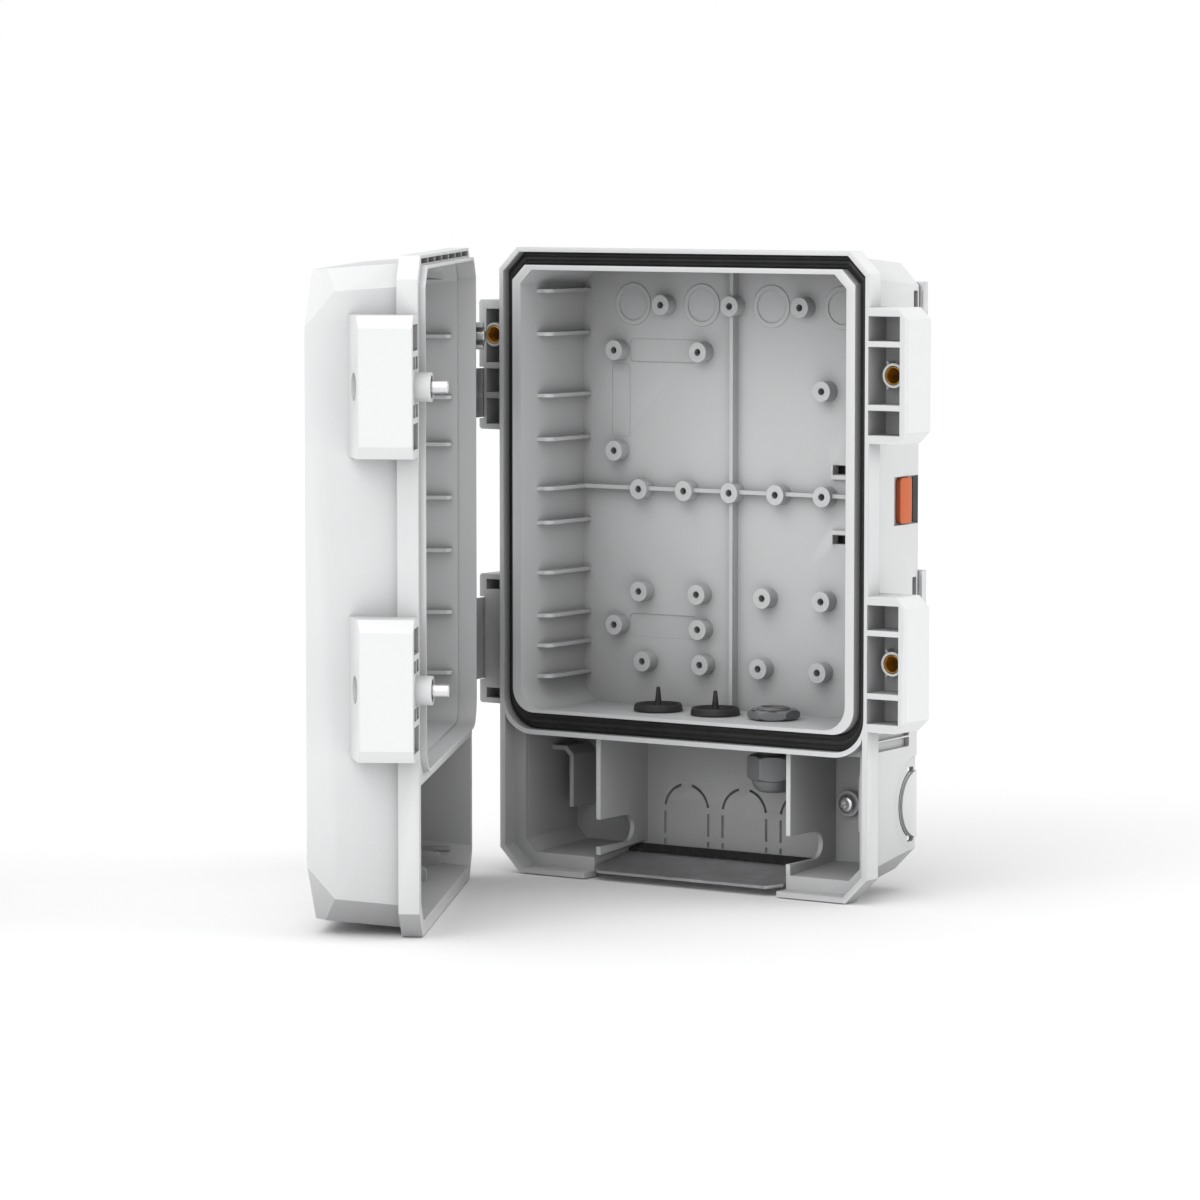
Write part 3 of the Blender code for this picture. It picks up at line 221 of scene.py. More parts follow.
# --- bracket, latch, plate and small parts -----------------------------------------------------
BRACKET_HALF = 0.088
BRACKET_SPAN = (0.030, 0.290)
BRACKET_FRONT = 0.0600
BRACKET_EAR_HALF = 0.0985
BRACKET_EARS = ((0.272, 0.290), (0.135, 0.153))
SLIDER_Y = (0.0402, 0.0522)
SLIDER_Z = (0.1760, 0.1983)
SLIDER_TRAVEL = 0.0050
SLIDER_RECESS = 0.0022
LABEL_Y = (0.0545, 0.0590)
PLUG_PLACES = {"left": -0.0300, "middle": 0.0030}
GLAND_X = 0.0362
FLOOR_Y = 0.0270
ENTRY_HOLE_RADIUS = 0.0082
STEM_TOP = 0.0930
GLAND_HEX = 0.0110  # half the distance across flats
GLAND_THREAD = 0.0079
PLATE_X = (-0.0543, 0.0543)
PLATE_Y = (0.0012, 0.0380)
PLATE_Z = 0.0036
PLATE_THICKNESS = 0.0015
PLATE_SLOPE = math.radians(8.0)
PLATE_CUT = 0.006
FIXING_X = 0.0664
FIXING_Z = 0.0405
FIXING_HEAD_RADIUS = 0.0047
FIXING_SHANK_RADIUS = 0.0020

# --- fine details ------------------------------------------------------------------------------
KNOCKOUTS = (-0.060, -0.020, 0.020, 0.060)
KNOCKOUT_Z = 0.2773
ARCHES = (-0.0285, 0.0050, 0.0385)
ARCH_Z = 0.0301
ARCH_RADIUS = 0.0126
ARCH_SLOT = 0.0013
ARCH_DASHES = ((0.0180, 0.0290), (0.0125, 0.0152))
THROUGH = 0.004  # past the back wall's face, to cut through it
PANELS = (
    ((-0.0620, -0.0230), (0.2490, 0.2604)),
    ((-0.0725, -0.0617), (0.2120, 0.2480)),
    ((-0.0620, -0.0230), (0.1141, 0.1255)),
)
SIDE_SLOTS = (((0.0540, 0.0580), (0.2775, 0.2860)), ((0.0540, 0.0580), (0.1404, 0.1502)))
LONG_SLOTS = ((0.0698, 0.0743), (0.0750, 0.0782))
LONG_SLOT_Y = (0.0150, 0.0513)
HALF_ROUND = (0.0600, 0.0415)  # depth and height of the knockout in the right wall
HALF_ROUND_RADII = (0.0160, 0.0166, 0.0176, 0.0232)  # disc, slot and recess
HALF_ROUND_END = 0.0590
LATCH_WINDOWS = ((0.1979, 0.2022), (0.1645, 0.1688))
LATCH_FLANGES = (((0.1955, 0.2022), (0.1955, 0.1977)), ((0.1645, 0.1712), (0.1690, 0.1712)))
LATCH_X = (0.0550, 0.0560, 0.0665, 0.0670)
LABEL_DEPTH = 0.00035
RING_RADII = (0.01025, 0.0080)
RING_HEIGHT = 0.0004
RIB_RADIUS = 0.0045
WEB_TURN = 52  # degrees
RIM_CELL_HALF = 0.0915
RIM_CELL_WALL = 0.0014
RIM_CELL_Z = (0.3017, 0.3040)
RIM_CELLS = 7
COVER_RIBS = (0.2629, 0.2335, 0.2108, 0.1851, 0.1596, 0.1296, 0.1002)
FIN_PLACES = (-0.079, -0.025, 0.029)
STEP_Y = -0.0064  # ledge inside the mouth of the cover's upper tray
POCKET_EDGE = 0.0078  # from a sleeve's middle to its narrow pockets
SEAL_PROFILE = (  # across the groove as a fraction, and depth in millimetres
    (0.0, 7.1), (0.0, 4.8), (0.05, 4.3), (0.12, 4.1), (0.26, 4.0), (0.34, 3.6), (0.42, 3.2), (0.50, 3.1),
    (0.58, 3.2), (0.66, 3.6), (0.74, 4.0), (0.88, 4.1), (0.95, 4.3), (1.0, 4.8), (1.0, 7.1),
)
# turned outlines: radii and heights in millimetres
PLUG_FOOT = ((0.0, -2.5), (5.0, -2.5), (7.8, -0.6))
PLUG_FLANGE = (
    (7.8, 0.0), (11.8, 0.0), (12.0, 0.4), (11.6, 2.6), (11.1, 3.5), (10.4, 3.4), (8.8, 1.8), (8.2, 1.4),
    (7.8, 1.9), (7.4, 1.4), (4.0, 1.2), (2.8, 1.6), (2.1, 2.8), (1.56, 5.0),
)
PLUG_TIP = ((0.91, -0.4), (0.0, 0.0))
GLAND_SEAL = (
    (4.0, -23.8), (4.6, -24.1), (5.7, -24.0), (5.9, -23.6), (5.9, -10.0), (4.2, -10.0), (4.0, -10.4),
)
GLAND_DOME = (
    (0.0, -17.8), (6.0, -17.8), (7.2, -17.5), (8.6, -16.5), (9.7, -14.8), (10.4, -13.0), (10.6, -11.2),
    (0.0, -11.2),
)
FIXING_HEAD = ((0.0, 0.0), (2.6, 0.05), (3.6, 0.4), (4.3, 1.1), (4.7, 1.9))
THREAD_PITCH = 0.0012
THREAD_DEPTH = 0.0005
EDGE = 0.00045  # rounding of the edges, seen in the shading
PAINTED_SHADE_REACH = 0.09  # reach of the painted shade in hollows
FLAT_AREA = 0.0001  # a face this large is flat
FINE = 40  # sides of a round piece
MM = 0.001


# --- mesh makers -------------------------------------------------------------------------------
def mesh_of(bm):
    """Store a bmesh as a mesh."""
    mesh = bpy.data.meshes.new("shape")
    bm.to_mesh(mesh)
    bm.free()
    return mesh


def holder_of(mesh):
    """An object for a mesh, so that modifiers can work on it."""
    holder = bpy.data.objects.new("holder", mesh)
    bpy.context.scene.collection.objects.link(holder)
    return holder


def evaluated(holder):
    """The holder's mesh with its modifiers applied; the holder goes."""
    bpy.context.view_layer.update()
    ready = holder.evaluated_get(bpy.context.evaluated_depsgraph_get())
    mesh = bpy.data.meshes.new_from_object(ready)
    bpy.data.objects.remove(holder, do_unlink=True)
    return mesh


def block(x_span, y_span, z_span):
    """A box between three pairs of limits."""
    bm = bmesh.new()
    bmesh.ops.create_cube(bm, size=1.0)
    low = Vector((min(x_span), min(y_span), min(z_span)))
    high = Vector((max(x_span), max(y_span), max(z_span)))
    size = high - low
    bmesh.ops.scale(bm, vec=size, verts=bm.verts)
    bmesh.ops.translate(bm, vec=(low + high) / 2, verts=bm.verts)
    return mesh_of(bm)


def rod(centre, along, start, end, radius, sides=ROUND_SIDES, end_radius=None):
    """A cylinder or cone on a line through centre, from start to end along the named axis."""
    bm = bmesh.new()
    tip = radius if end_radius is None else end_radius
    bmesh.ops.create_cone(
        bm, cap_ends=True, segments=sides, radius1=radius, radius2=tip, depth=end - start
    )
    bmesh.ops.translate(bm, vec=(0, 0, (start + end) / 2), verts=bm.verts)
    turns = {"x": Matrix.Rotation(math.pi / 2, 3, "Y"), "y": Matrix.Rotation(-math.pi / 2, 3, "X")}
    if along in turns:
        bmesh.ops.rotate(bm, matrix=turns[along], verts=bm.verts)
    bmesh.ops.translate(bm, vec=centre, verts=bm.verts)
    return mesh_of(bm)


def slab(outlines, y_start, y_end):
    """A flat outline in x and z, with any inner outlines as holes, extruded along y."""
    curve = bpy.data.curves.new("outline", "CURVE")
    curve.dimensions = "2D"
    curve.fill_mode = "BOTH"
    curve.extrude = abs(y_end - y_start) / 2
    for points in outlines:
        spline = curve.splines.new("POLY")
        spline.points.add(len(points) - 1)
        for place, (x, z) in zip(spline.points, points):
            place.co = (x, z, 0.0, 1.0)
        spline.use_cyclic_u = True
    bm = bmesh.new()
    bm.from_mesh(evaluated(holder_of(curve)))
    bmesh.ops.remove_doubles(bm, verts=bm.verts, dist=1e-6)
    bmesh.ops.rotate(bm, matrix=Matrix.Rotation(math.pi / 2, 3, "X"), verts=bm.verts)
    bmesh.ops.translate(bm, vec=(0, (y_start + y_end) / 2, 0), verts=bm.verts)
    bmesh.ops.recalc_face_normals(bm, faces=bm.faces)
    return mesh_of(bm)


def swapped(mesh, one, two):
    """The mesh with two of its axes swapped, still facing out."""
    rows = list(Matrix.Identity(3))
    rows[one], rows[two] = rows[two], rows[one]
    mesh.transform(Matrix(rows).to_4x4())
    mesh.flip_normals()
    return mesh


def side_slab(points, x_start, x_end):
    """A flat outline in y and z, extruded along x."""
    return swapped(slab([points], x_start, x_end), 0, 1)


def level_slab(points, z_start, z_end):
    """A flat outline in x and y, extruded along z."""
    return swapped(slab([points], z_start, z_end), 1, 2)


def outline(half, low, high, top_cut, foot, steps=1):
    """Symmetric outline with chamfered top corners and foot corners cut by an arc of some steps."""
    right = []
    for step in range(steps + 1):
        angle = math.pi / 2 * step / steps
        right.append((half - foot * (1 - math.sin(angle)), low + foot * (1 - math.cos(angle))))
    if top_cut:
        right += [(half, high - top_cut), (half - top_cut, high)]
    else:
        right.append((half, high))
    return right + [(-x, z) for x, z in reversed(right)]


def draft(mesh, y_from, side, low=0.0, high=0.0):
    """Draw the walls in with depth behind y_from: side, low and high are slopes."""
    middle = sum(v.co.z for v in mesh.vertices) / len(mesh.vertices)
    for vertex in mesh.vertices:
        depth = abs(vertex.co.y - y_from)
        vertex.co.x -= math.copysign(side * depth, vertex.co.x)
        vertex.co.z += low * depth if vertex.co.z < middle else -high * depth
    return mesh


def joined(meshes):
    """Several meshes in one, as separate bodies."""
    bm = bmesh.new()
    for mesh in meshes:
        bm.from_mesh(mesh)
    return mesh_of(bm)


def mirrored(mesh):
    """The same mesh across the plane x = 0."""
    copy = mesh.copy()
    copy.transform(Matrix.Scale(-1, 4, (1, 0, 0)))
    copy.flip_normals()
    return copy


def moved(mesh, offset):
    """The mesh shifted by an offset."""
    mesh.transform(Matrix.Translation(offset))
    return mesh


def block_windows(span, insert_z, front, depth, x_in, x_out):
    """Pockets in a corner block's front: one round the insert and one or two beside it."""
    low, high = span
    windows = []
    if insert_z > (low + high) / 2 + OVERLAP:
        limits = [low + rise for rise in HINGE_WINDOWS]
    else:
        edge = WINDOW_TALL / 2
        limits = [low + WINDOW_END, insert_z - edge - BLOCK_WALL, insert_z - edge]
        limits += [insert_z + edge, insert_z + edge + BLOCK_WALL, high - WINDOW_END]
    for start, end in zip(limits[::2], limits[1::2]):
        windows.append(block((x_in, x_out), (front - OVERLAP, front + depth), (start, end)))
    return joined(windows)


def plain_block(out, front, back, span, cut):
    """A block on the side of the case, its outer corners chamfered."""
    low, high = span
    inner = HALF_WIDTH - SHELL_INSET - 0.0025
    points = [(inner, low), (out - cut, low), (out, low + cut)]
    points += [(out, high - cut), (out - cut, high), (inner, high)]
    return slab([points], front, back)


def base_blocks():
    """The two screw blocks on the right and the two hinge blocks on the left."""
    adds = []
    for span in BLOCK_SPANS.values():
        adds.append(plain_block(BLOCK_OUT, 0.0, BLOCK_BACK, span, BLOCK_CUT))
        hinge_side = plain_block(HINGE_BLOCK_OUT, HINGE_BLOCK_FRONT, BLOCK_BACK, span, OVERLAP)
        adds.append(mirrored(hinge_side))
    return joined(adds)


def base_block_cuts():
    """Pockets in the front of the blocks and the recess for each hinge leaf."""
    cuts = []
    x_in = HALF_WIDTH - OVERLAP / 2
    for low, high in BLOCK_SPANS.values():
        middle = (low + high) / 2
        cuts.append(block_windows((low, high), middle, 0.0, WINDOW_DEPTH, x_in, BLOCK_OUT - WINDOW_SIDE))
    upper = BLOCK_SPANS["upper"]
    hinge_windows = block_windows(
        upper, HINGE_SCREW_Z, HINGE_BLOCK_FRONT, 0.0105, x_in, HINGE_BLOCK_OUT - WINDOW_SIDE
    )
    cuts.append(mirrored(hinge_windows))
    low, high = BLOCK_SPANS["lower"]
    for start, end in ((low + 0.0026, low + 0.0075), (high - 0.0075, high - 0.0026)):
        spans = (-HINGE_BLOCK_OUT + 0.0040, -x_in), (HINGE_BLOCK_FRONT - OVERLAP, 0.0175)
        cuts.append(block(*spans, (start, end)))
    for low, high in KNUCKLES.values():
        inner = LEAF_X[1] + GAP
        spans = (-HINGE_BLOCK_OUT - OVERLAP, inner), (HINGE_BLOCK_FRONT - OVERLAP, BLOCK_BACK + OVERLAP)
        cuts.append(block(*spans, (low - GAP * 2, high + GAP * 2)))
    return joined(cuts)


def insert_places():
    """Where each brass insert sits: side, height, face of its boss and end of its boss."""
    middles = {name: sum(span) / 2 for name, span in BLOCK_SPANS.items()}
    return {
        "upper_right": (1, middles["upper"], BOSS_FACE_Y, BLOCK_BACK - OVERLAP),
        "lower_right": (1, middles["lower"], BOSS_FACE_Y, BLOCK_BACK - OVERLAP),
        "upper_left": (-1, HINGE_SCREW_Z, BOSS_FACE_Y, BLOCK_BACK - OVERLAP),
    }


def base_insert_bosses():
    """Bosses for the three inserts."""
    radius = SCREW_SOCKET_RADIUS - BLOCK_WALL
    places = insert_places().values()
    return joined([rod((side * SCREW_X, 0, z), "y", face, back, radius) for side, z, face, back in places])


def base_insert_bores():
    """Blind bores that the inserts are pressed into."""
    cuts = []
    for side, z, face, _ in insert_places().values():
        place = (side * SCREW_X, 0, z)
        end = face + INSERT_LENGTH + GAP
        cuts.append(rod(place, "y", face - OVERLAP, end, INSERT_RADIUS + GAP))
    return joined(cuts)


def lower_opening():
    """Stepped opening of the lower compartment, clear of the rounded bar under the gasket."""
    half, low, _, _, radius = GROOVE_OUTER
    rounded = radius + BAR_WALL
    side = half + BAR_WALL
    start = low - BAR_WALL
    edge = outline(LEDGE_HALF, LEDGE_FOOT, start, 0.0, FOOT_CUT - 0.0015)
    right = [p for p in edge if p[0] > 0]
    arc = []
    for step in range(1, ARC_STEPS + 1):
        angle = math.pi / 2 * step / ARC_STEPS
        arc.append((side - rounded * (1 - math.sin(angle)), start + rounded * (1 - math.cos(angle))))
    arc = [(x, z) for x, z in arc if x < LEDGE_HALF]
    top = [(LEDGE_HALF, arc[-1][1] + BAR_WALL)] + arc[::-1]
    flat_end = (side - rounded, start)
    right = right[:-1] + top + [flat_end]
    return [right + [(-x, z) for x, z in reversed(right)]]


def base_cavities():
    """Cuts that hollow the case: compartments, gasket groove and the recess for the bracket."""
    upper = slab([outline(CAVITY_HALF, CAVITY_FLOOR, CAVITY_TOP, CAVITY_CUT, CAVITY_RADIUS, ARC_STEPS)],
                 -OVERLAP, BACK_WALL)
    draft(upper, -OVERLAP, CAVITY_DRAFT, 0.0, 0.02)
    groove = slab([outline(*GROOVE_OUTER, ARC_STEPS), outline(*GROOVE_INNER, ARC_STEPS)],
                  -OVERLAP, GROOVE_DEPTH)
    ledge = slab(lower_opening(), -OVERLAP, LEDGE_Y)
    roof = CAVITY_FLOOR - FLOOR_THICKNESS
    chambers = slab([outline(CHAMBER_HALF, CHAMBER_FLOOR, roof, 0.0, CHAMBER_CUT)],
                    RIM_DEPTH, BACK_WALL)
    draft(chambers, LEDGE_Y, CAVITY_DRAFT, CHAMBER_FLOOR_DRAFT, 0.0)
    mouth_top = GROOVE_OUTER[1] - BAR_WALL
    mouth = slab([outline(CHAMBER_HALF, CHAMBER_FLOOR, mouth_top, 0.0, CHAMBER_CUT)],
                 LEDGE_Y - OVERLAP, RIM_DEPTH + OVERLAP)
    half = HALF_WIDTH - SHELL_INSET - SIDE_DRAFT * (SHELL_DEPTH - RIM_DEPTH) - SKIRT_WALL
    low = SHELL_FOOT + FOOT_DRAFT * (SHELL_DEPTH - RIM_DEPTH) + SKIRT_WALL
    high = SHELL_TOP - TOP_DRAFT * (SHELL_DEPTH - RIM_DEPTH) - SKIRT_WALL
    rear = slab([outline(half, low, high, TOP_CUT - 0.003, FOOT_CUT - 0.003)],
                BACK_WALL + BACK_THICKNESS, SHELL_DEPTH + OVERLAP)
    return [upper, groove, ledge, chambers, mouth, rear]


def back_ribs():
    """The upright and the cross rib on the back wall."""
    front = BACK_WALL - BACK_RIB_HEIGHT
    half = BACK_RIB_THICKNESS / 2
    reach = CAVITY_HALF - BACK_RIB_END
    upright = block((-half, half), (front, BACK_WALL + OVERLAP), (CAVITY_FLOOR - OVERLAP, CAVITY_TOP))
    across = block((-reach, reach), (front, BACK_WALL + OVERLAP), (CROSS_RIB_Z - half, CROSS_RIB_Z + half))
    return upright, across


def boss_places():
    """Every boss on the back wall, as (x, z)."""
    return [(x, z) for z, row in BOSS_ROWS.items() for x in row]


def base_bosses():
    """Screw bosses on the back wall."""
    places = boss_places()
    return joined([
        rod((x, 0, z), "y", BOSS_FRONT, BACK_WALL + OVERLAP, BOSS_RADIUS, BOSS_SIDES) for x, z in places
    ])


def base_boss_holes():
    """Blind pilot holes in the bosses."""
    places = boss_places()
    return joined([
        rod((x, 0, z), "y", BOSS_FRONT - OVERLAP, BACK_WALL, BOSS_HOLE_RADIUS, 8) for x, z in places
    ])


def partition(span):
    """Upright wall in the lower compartment with a cable notch open to the front."""
    low, high = NOTCH_Z
    foot = 0.0060
    top = CAVITY_FLOOR - OVERLAP
    points = [(LEDGE_Y, foot), (LEDGE_Y, low)]
    radius = (high - low) / 2
    centre = (NOTCH_END - radius, (low + high) / 2)
    for step in range(ARC_STEPS + 1):
        angle = -math.pi / 2 + math.pi * step / ARC_STEPS
        points.append((centre[0] + radius * math.cos(angle), centre[1] + radius * math.sin(angle)))
    points += [(LEDGE_Y, high), (LEDGE_Y, top), (BACK_WALL + OVERLAP, top), (BACK_WALL + OVERLAP, foot)]
    return side_slab(points, *span)


def hook():
    """Hook on the right wall of the lower compartment, to lay cables over."""
    outer = CHAMBER_HALF - HOOK_SPAN
    wall = CHAMBER_HALF + OVERLAP
    points = [(wall, HOOK_TOP - HOOK_THICKNESS), (wall, HOOK_TOP)]
    points += [(outer + 0.004, HOOK_TOP), (outer, HOOK_TOP - 0.004), (outer, HOOK_FOOT)]
    points += [(outer + HOOK_THICKNESS, HOOK_FOOT), (outer + HOOK_THICKNESS, HOOK_TOP - 0.005)]
    points += [(outer + 0.005, HOOK_TOP - HOOK_THICKNESS)]
    return slab([points], HOOK_FRONT, BACK_WALL + OVERLAP)


def lower_fittings():
    """Partitions, cable hooks and fixing bosses of the lower compartment."""
    hooks = [hook(), mirrored(hook())]
    seats = []
    for side in (-1, 1):
        place = (side * FIXING_X, 0, FIXING_Z)
        seats.append(rod(place, "y", BACK_WALL - 0.004, BACK_WALL + OVERLAP, FIXING_HEAD_RADIUS + 0.0015))
    return joined([partition(span) for span in PARTITIONS] + hooks + seats)


def base_holes():
    """Holes through the floor, the back wall and the bottom."""
    cuts = []
    roof = CAVITY_FLOOR - FLOOR_THICKNESS
    for x in (*PLUG_PLACES.values(), GLAND_X):
        cuts.append(rod((x, FLOOR_Y, 0), "z", roof - OVERLAP, CAVITY_FLOOR + OVERLAP, ENTRY_HOLE_RADIUS))
    for side in (-1, 1):
        place = (side * FIXING_X, 0, FIXING_Z)
        cuts.append(rod(place, "y", BACK_WALL - 0.005, SHELL_DEPTH, FIXING_SHANK_RADIUS + GAP, 12))
    return joined(cuts)


def bottom_opening():
    """Opening in the bottom, open to the front."""
    points = [(-OVERLAP, -OVERLAP), (-OVERLAP, CHAMBER_FLOOR + 0.0005)]
    points += [(OPENING_BACK, CHAMBER_FLOOR + 0.0045), (OPENING_BACK, -OVERLAP)]
    return side_slab(points, -OPENING_HALF, OPENING_HALF)


def slider_recess():
    """Shallow recess on the right side for the lock slider and its position plate."""
    y_span = (SLIDER_Y[0] - SLIDER_TRAVEL - GAP, LABEL_Y[1] + GAP)
    z_span = (SLIDER_Z[0] - GAP, SLIDER_Z[1] + GAP)
    surface = HALF_WIDTH - SHELL_INSET - SIDE_DRAFT * (SLIDER_Y[0] - RIM_DEPTH)
    return block((surface - SLIDER_RECESS, surface + 0.004), y_span, z_span)


def cut_corner(bm, point, normal):
    """Slice off what lies past a plane and close the cut."""
    geometry = bm.verts[:] + bm.edges[:] + bm.faces[:]
    cut = bmesh.ops.bisect_plane(bm, geom=geometry, plane_co=point, plane_no=normal, clear_outer=True)
    edges = [item for item in cut["geom_cut"] if isinstance(item, bmesh.types.BMEdge)]
    bmesh.ops.contextual_create(bm, geom=edges)


def faceted(mesh, inset):
    """Cut the sloping ends and the four corner facets of the cover's front, set in by a wall."""
    bm = bmesh.new()
    bm.from_mesh(mesh)
    for up in (-1, 1):
        height = HEIGHT - CORNER_FACET if up > 0 else CORNER_FACET
        slope = Vector((0, -CORNER_FACET, up * CROWN)).normalized()
        cut_corner(bm, Vector((0, -COVER_DEPTH, height)) - slope * inset, slope)
        for side in (-1, 1):
            corner = Vector((side * COVER_HALF, -COVER_DEPTH, height))
            normal = Vector((side * FACET_NORMAL[0], FACET_NORMAL[1], up * FACET_NORMAL[2])).normalized()
            cut_corner(bm, corner - normal * inset, normal)
    return mesh_of(bm)


def cover_body():
    """Outer form of the cover's shell."""
    edge = outline(COVER_HALF, COVER_FOOT, HEIGHT - COVER_FOOT, TOP_CUT, FOOT_CUT)
    mesh = slab([edge], -COVER_DEPTH, -COVER_SKIRT + OVERLAP)
    draft(mesh, -COVER_SKIRT + OVERLAP, COVER_SIDE_DRAFT, COVER_TOP_DRAFT, COVER_TOP_DRAFT)
    return faceted(mesh, 0.0)


def sloped_end(mesh):
    """Slope the outer end of a free-edge block, so that it is deepest beside the shell."""
    for vertex in mesh.vertices:
        if vertex.co.y < -SEAM - OVERLAP:
            vertex.co.y = -COVER_BLOCK_OUTER - (BLOCK_OUT - vertex.co.x) * COVER_BLOCK_SLOPE
    return mesh


def cover_blocks():
    """Screw blocks on the free edge and hinge blocks on the other."""
    adds = []
    for span in BLOCK_SPANS.values():
        screw_side = plain_block(BLOCK_OUT, -COVER_BLOCK_DEPTH, -SEAM, span, BLOCK_CUT)
        adds.append(sloped_end(screw_side))
        adds.append(mirrored(plain_block(HINGE_BLOCK_OUT, -COVER_BLOCK_DEPTH, -SEAM, span, OVERLAP)))
    return joined(adds)


def knuckle_rooms():
    """Space round each hinge knuckle and leaf in the cover's hinge blocks."""
    cuts = []
    for low, high in KNUCKLES.values():
        z_span = (low - GAP, high + GAP)
        room = AXIS.x + KNUCKLE_ROOM
        cuts.append(block((-BLOCK_OUT, room), (AXIS.y - KNUCKLE_ROOM, OVERLAP), z_span))
    return joined(cuts)


def hinge_lugs():
    """Lugs above and below each knuckle, round the pin."""
    lugs = []
    for low, high in KNUCKLES.values():
        for start in (low - GAP - LUG_HEIGHT, high + GAP):
            end = start + LUG_HEIGHT
            lugs.append(rod((AXIS.x, AXIS.y, 0), "z", start, end, LUG_RADIUS, 24))
            lugs.append(block((AXIS.x, AXIS.x + 0.005), (AXIS.y - LUG_RADIUS, AXIS.y + 0.002), (start, end)))
    return lugs


def pin_rooms():
    """Bores for the hinge pins through the lugs, and room for their heads above."""
    cuts = []
    place = (AXIS.x, AXIS.y, 0)
    for low, high in KNUCKLES.values():
        top = high + GAP + LUG_HEIGHT
        cuts.append(rod(place, "z", low - 0.02, top + OVERLAP, PIN_RADIUS + GAP, 24))
        cuts.append(rod(place, "z", top, top + PIN_ROOM, PIN_HEAD_RADIUS + GAP * 2, 24))
    return cuts


def screw_places():
    """Where each cover screw sits: side, height, sleeve tip and layout."""
    inserts = insert_places()
    return {
        "upper_right": (1, inserts["upper_right"][1], SLEEVE_TIP, SCREW_LAYOUT),
        "lower_right": (1, inserts["lower_right"][1], SLEEVE_TIP, SCREW_LAYOUT),
        "upper_left": (-1, inserts["upper_left"][1], HINGE_SLEEVE_TIP, HINGE_SCREW_LAYOUT),
    }


def cover_sleeves():
    """Sleeves that guide the screws, past the rim plane into the case's sockets."""
    sleeves = []
    for side, z, tip, _ in screw_places().values():
        place = (side * SCREW_X, 0, z)
        sleeves.append(rod(place, "y", SLEEVE_FLOOR[0], tip, SLEEVE_RADIUS))
    return joined(sleeves)


def cover_block_cuts():
    """Screwdriver wells, the necks under the screw heads and the wide bores of the sleeves."""
    wells = []
    necks = []
    bores = []
    for side, z, tip, _ in screw_places().values():
        place = (side * SCREW_X, 0, z)
        wells.append(rod(place, "y", -WELL_START, SLEEVE_FLOOR[0], ACCESS_RADIUS - 0.0005))
        necks.append(rod(place, "y", SLEEVE_FLOOR[0] - OVERLAP, 0.0, NECK_BORE))
        bores.append(rod(place, "y", SLEEVE_FLOOR[1], tip + OVERLAP, SLEEVE_BORE))
    return joined(wells), joined(necks), joined(bores)


def cover_windows():
    """Small windows above and below each sleeve in the rim side of the screw blocks."""
    cuts = []
    for low, high in BLOCK_SPANS.values():
        middle = (low + high) / 2
        edge = WINDOW_TALL / 2 + BLOCK_WALL
        for start, end in ((low + WINDOW_END, middle - edge), (middle + edge, high - WINDOW_END)):
            cuts.append(block((HALF_WIDTH, BLOCK_OUT - WINDOW_SIDE), (-0.0200, OVERLAP), (start, end)))
    return joined(cuts)


def cover_hollows():
    """The upper tray inside the tongue and the lower tray."""
    half, low, high, cut, radius = TONGUE
    wall = TONGUE_WALL
    inner = outline(half - wall, low + wall, high - wall, cut - wall / 2, radius - wall, ARC_STEPS)
    upper = slab([inner], -TRAY_BACK, TONGUE_TIP + OVERLAP)
    draft(upper, TONGUE_TIP + OVERLAP, 0.055, 0.055, 0.110)
    foot = outline(LOWER_TRAY_HALF, LOWER_TRAY_FOOT, LOWER_TRAY_TOP, 0.0, FOOT_CUT - 0.003)
    lower = slab([foot], -TRAY_BACK + 0.004, OVERLAP)
    draft(lower, OVERLAP, 0.055, 0.110, 0.0)
    return faceted(upper, COVER_WALL), faceted(lower, COVER_WALL)


def circle(x, z, radius, sides=ROUND_SIDES):
    """Points round a circle."""
    turns = [2 * math.pi * step / sides for step in range(sides)]
    return [(x + radius * math.cos(turn), z + radius * math.sin(turn)) for turn in turns]


# --- placing -----------------------------------------------------------------------------------
CASE = Matrix.Translation((0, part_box("base_shell")[0].y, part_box("base_shell")[0].z))
OPEN = CASE @ Matrix.Translation(AXIS) @ Matrix.Rotation(-OPEN_ANGLE, 4, "Z") @ Matrix.Translation(-AXIS)


def combine(mesh, steps):
    """Join to and cut from a closed mesh, in order."""
    holder = holder_of(mesh)
    tools = []
    for operation, tool_mesh in steps:
        tool = holder_of(tool_mesh)
        tool.hide_render = True
        tools.append(tool)
        step = holder.modifiers.new("step", "BOOLEAN")
        step.operation = operation
        step.solver = "MANIFOLD"
        step.object = tool
    made = evaluated(holder)
    for tool in tools:
        bpy.data.objects.remove(tool, do_unlink=True)
    return made


def tidy(mesh, angle=0.6):
    """Weld a combined mesh and merge its flat faces."""
    bm = bmesh.new()
    bm.from_mesh(mesh)
    bmesh.ops.remove_doubles(bm, verts=bm.verts, dist=4e-6)
    bmesh.ops.dissolve_limit(
        bm, angle_limit=math.radians(angle), verts=bm.verts, edges=bm.edges, delimit={"NORMAL"}
    )
    bmesh.ops.dissolve_degenerate(bm, edges=bm.edges, dist=2e-5)
    return mesh_of(bm)


def rounded(mesh, width, segments=2, angle=28):
    """Round the sharp edges a little, as a mould or a tumbler leaves them."""
    holder = holder_of(mesh)
    step = holder.modifiers.new("edges", "BEVEL")
    step.width = width
    step.segments = segments
    step.limit_method = "ANGLE"
    step.angle_limit = math.radians(angle)
    step.use_clamp_overlap = CLAMP
    step.miter_outer = "MITER_SHARP"
    return evaluated(holder)


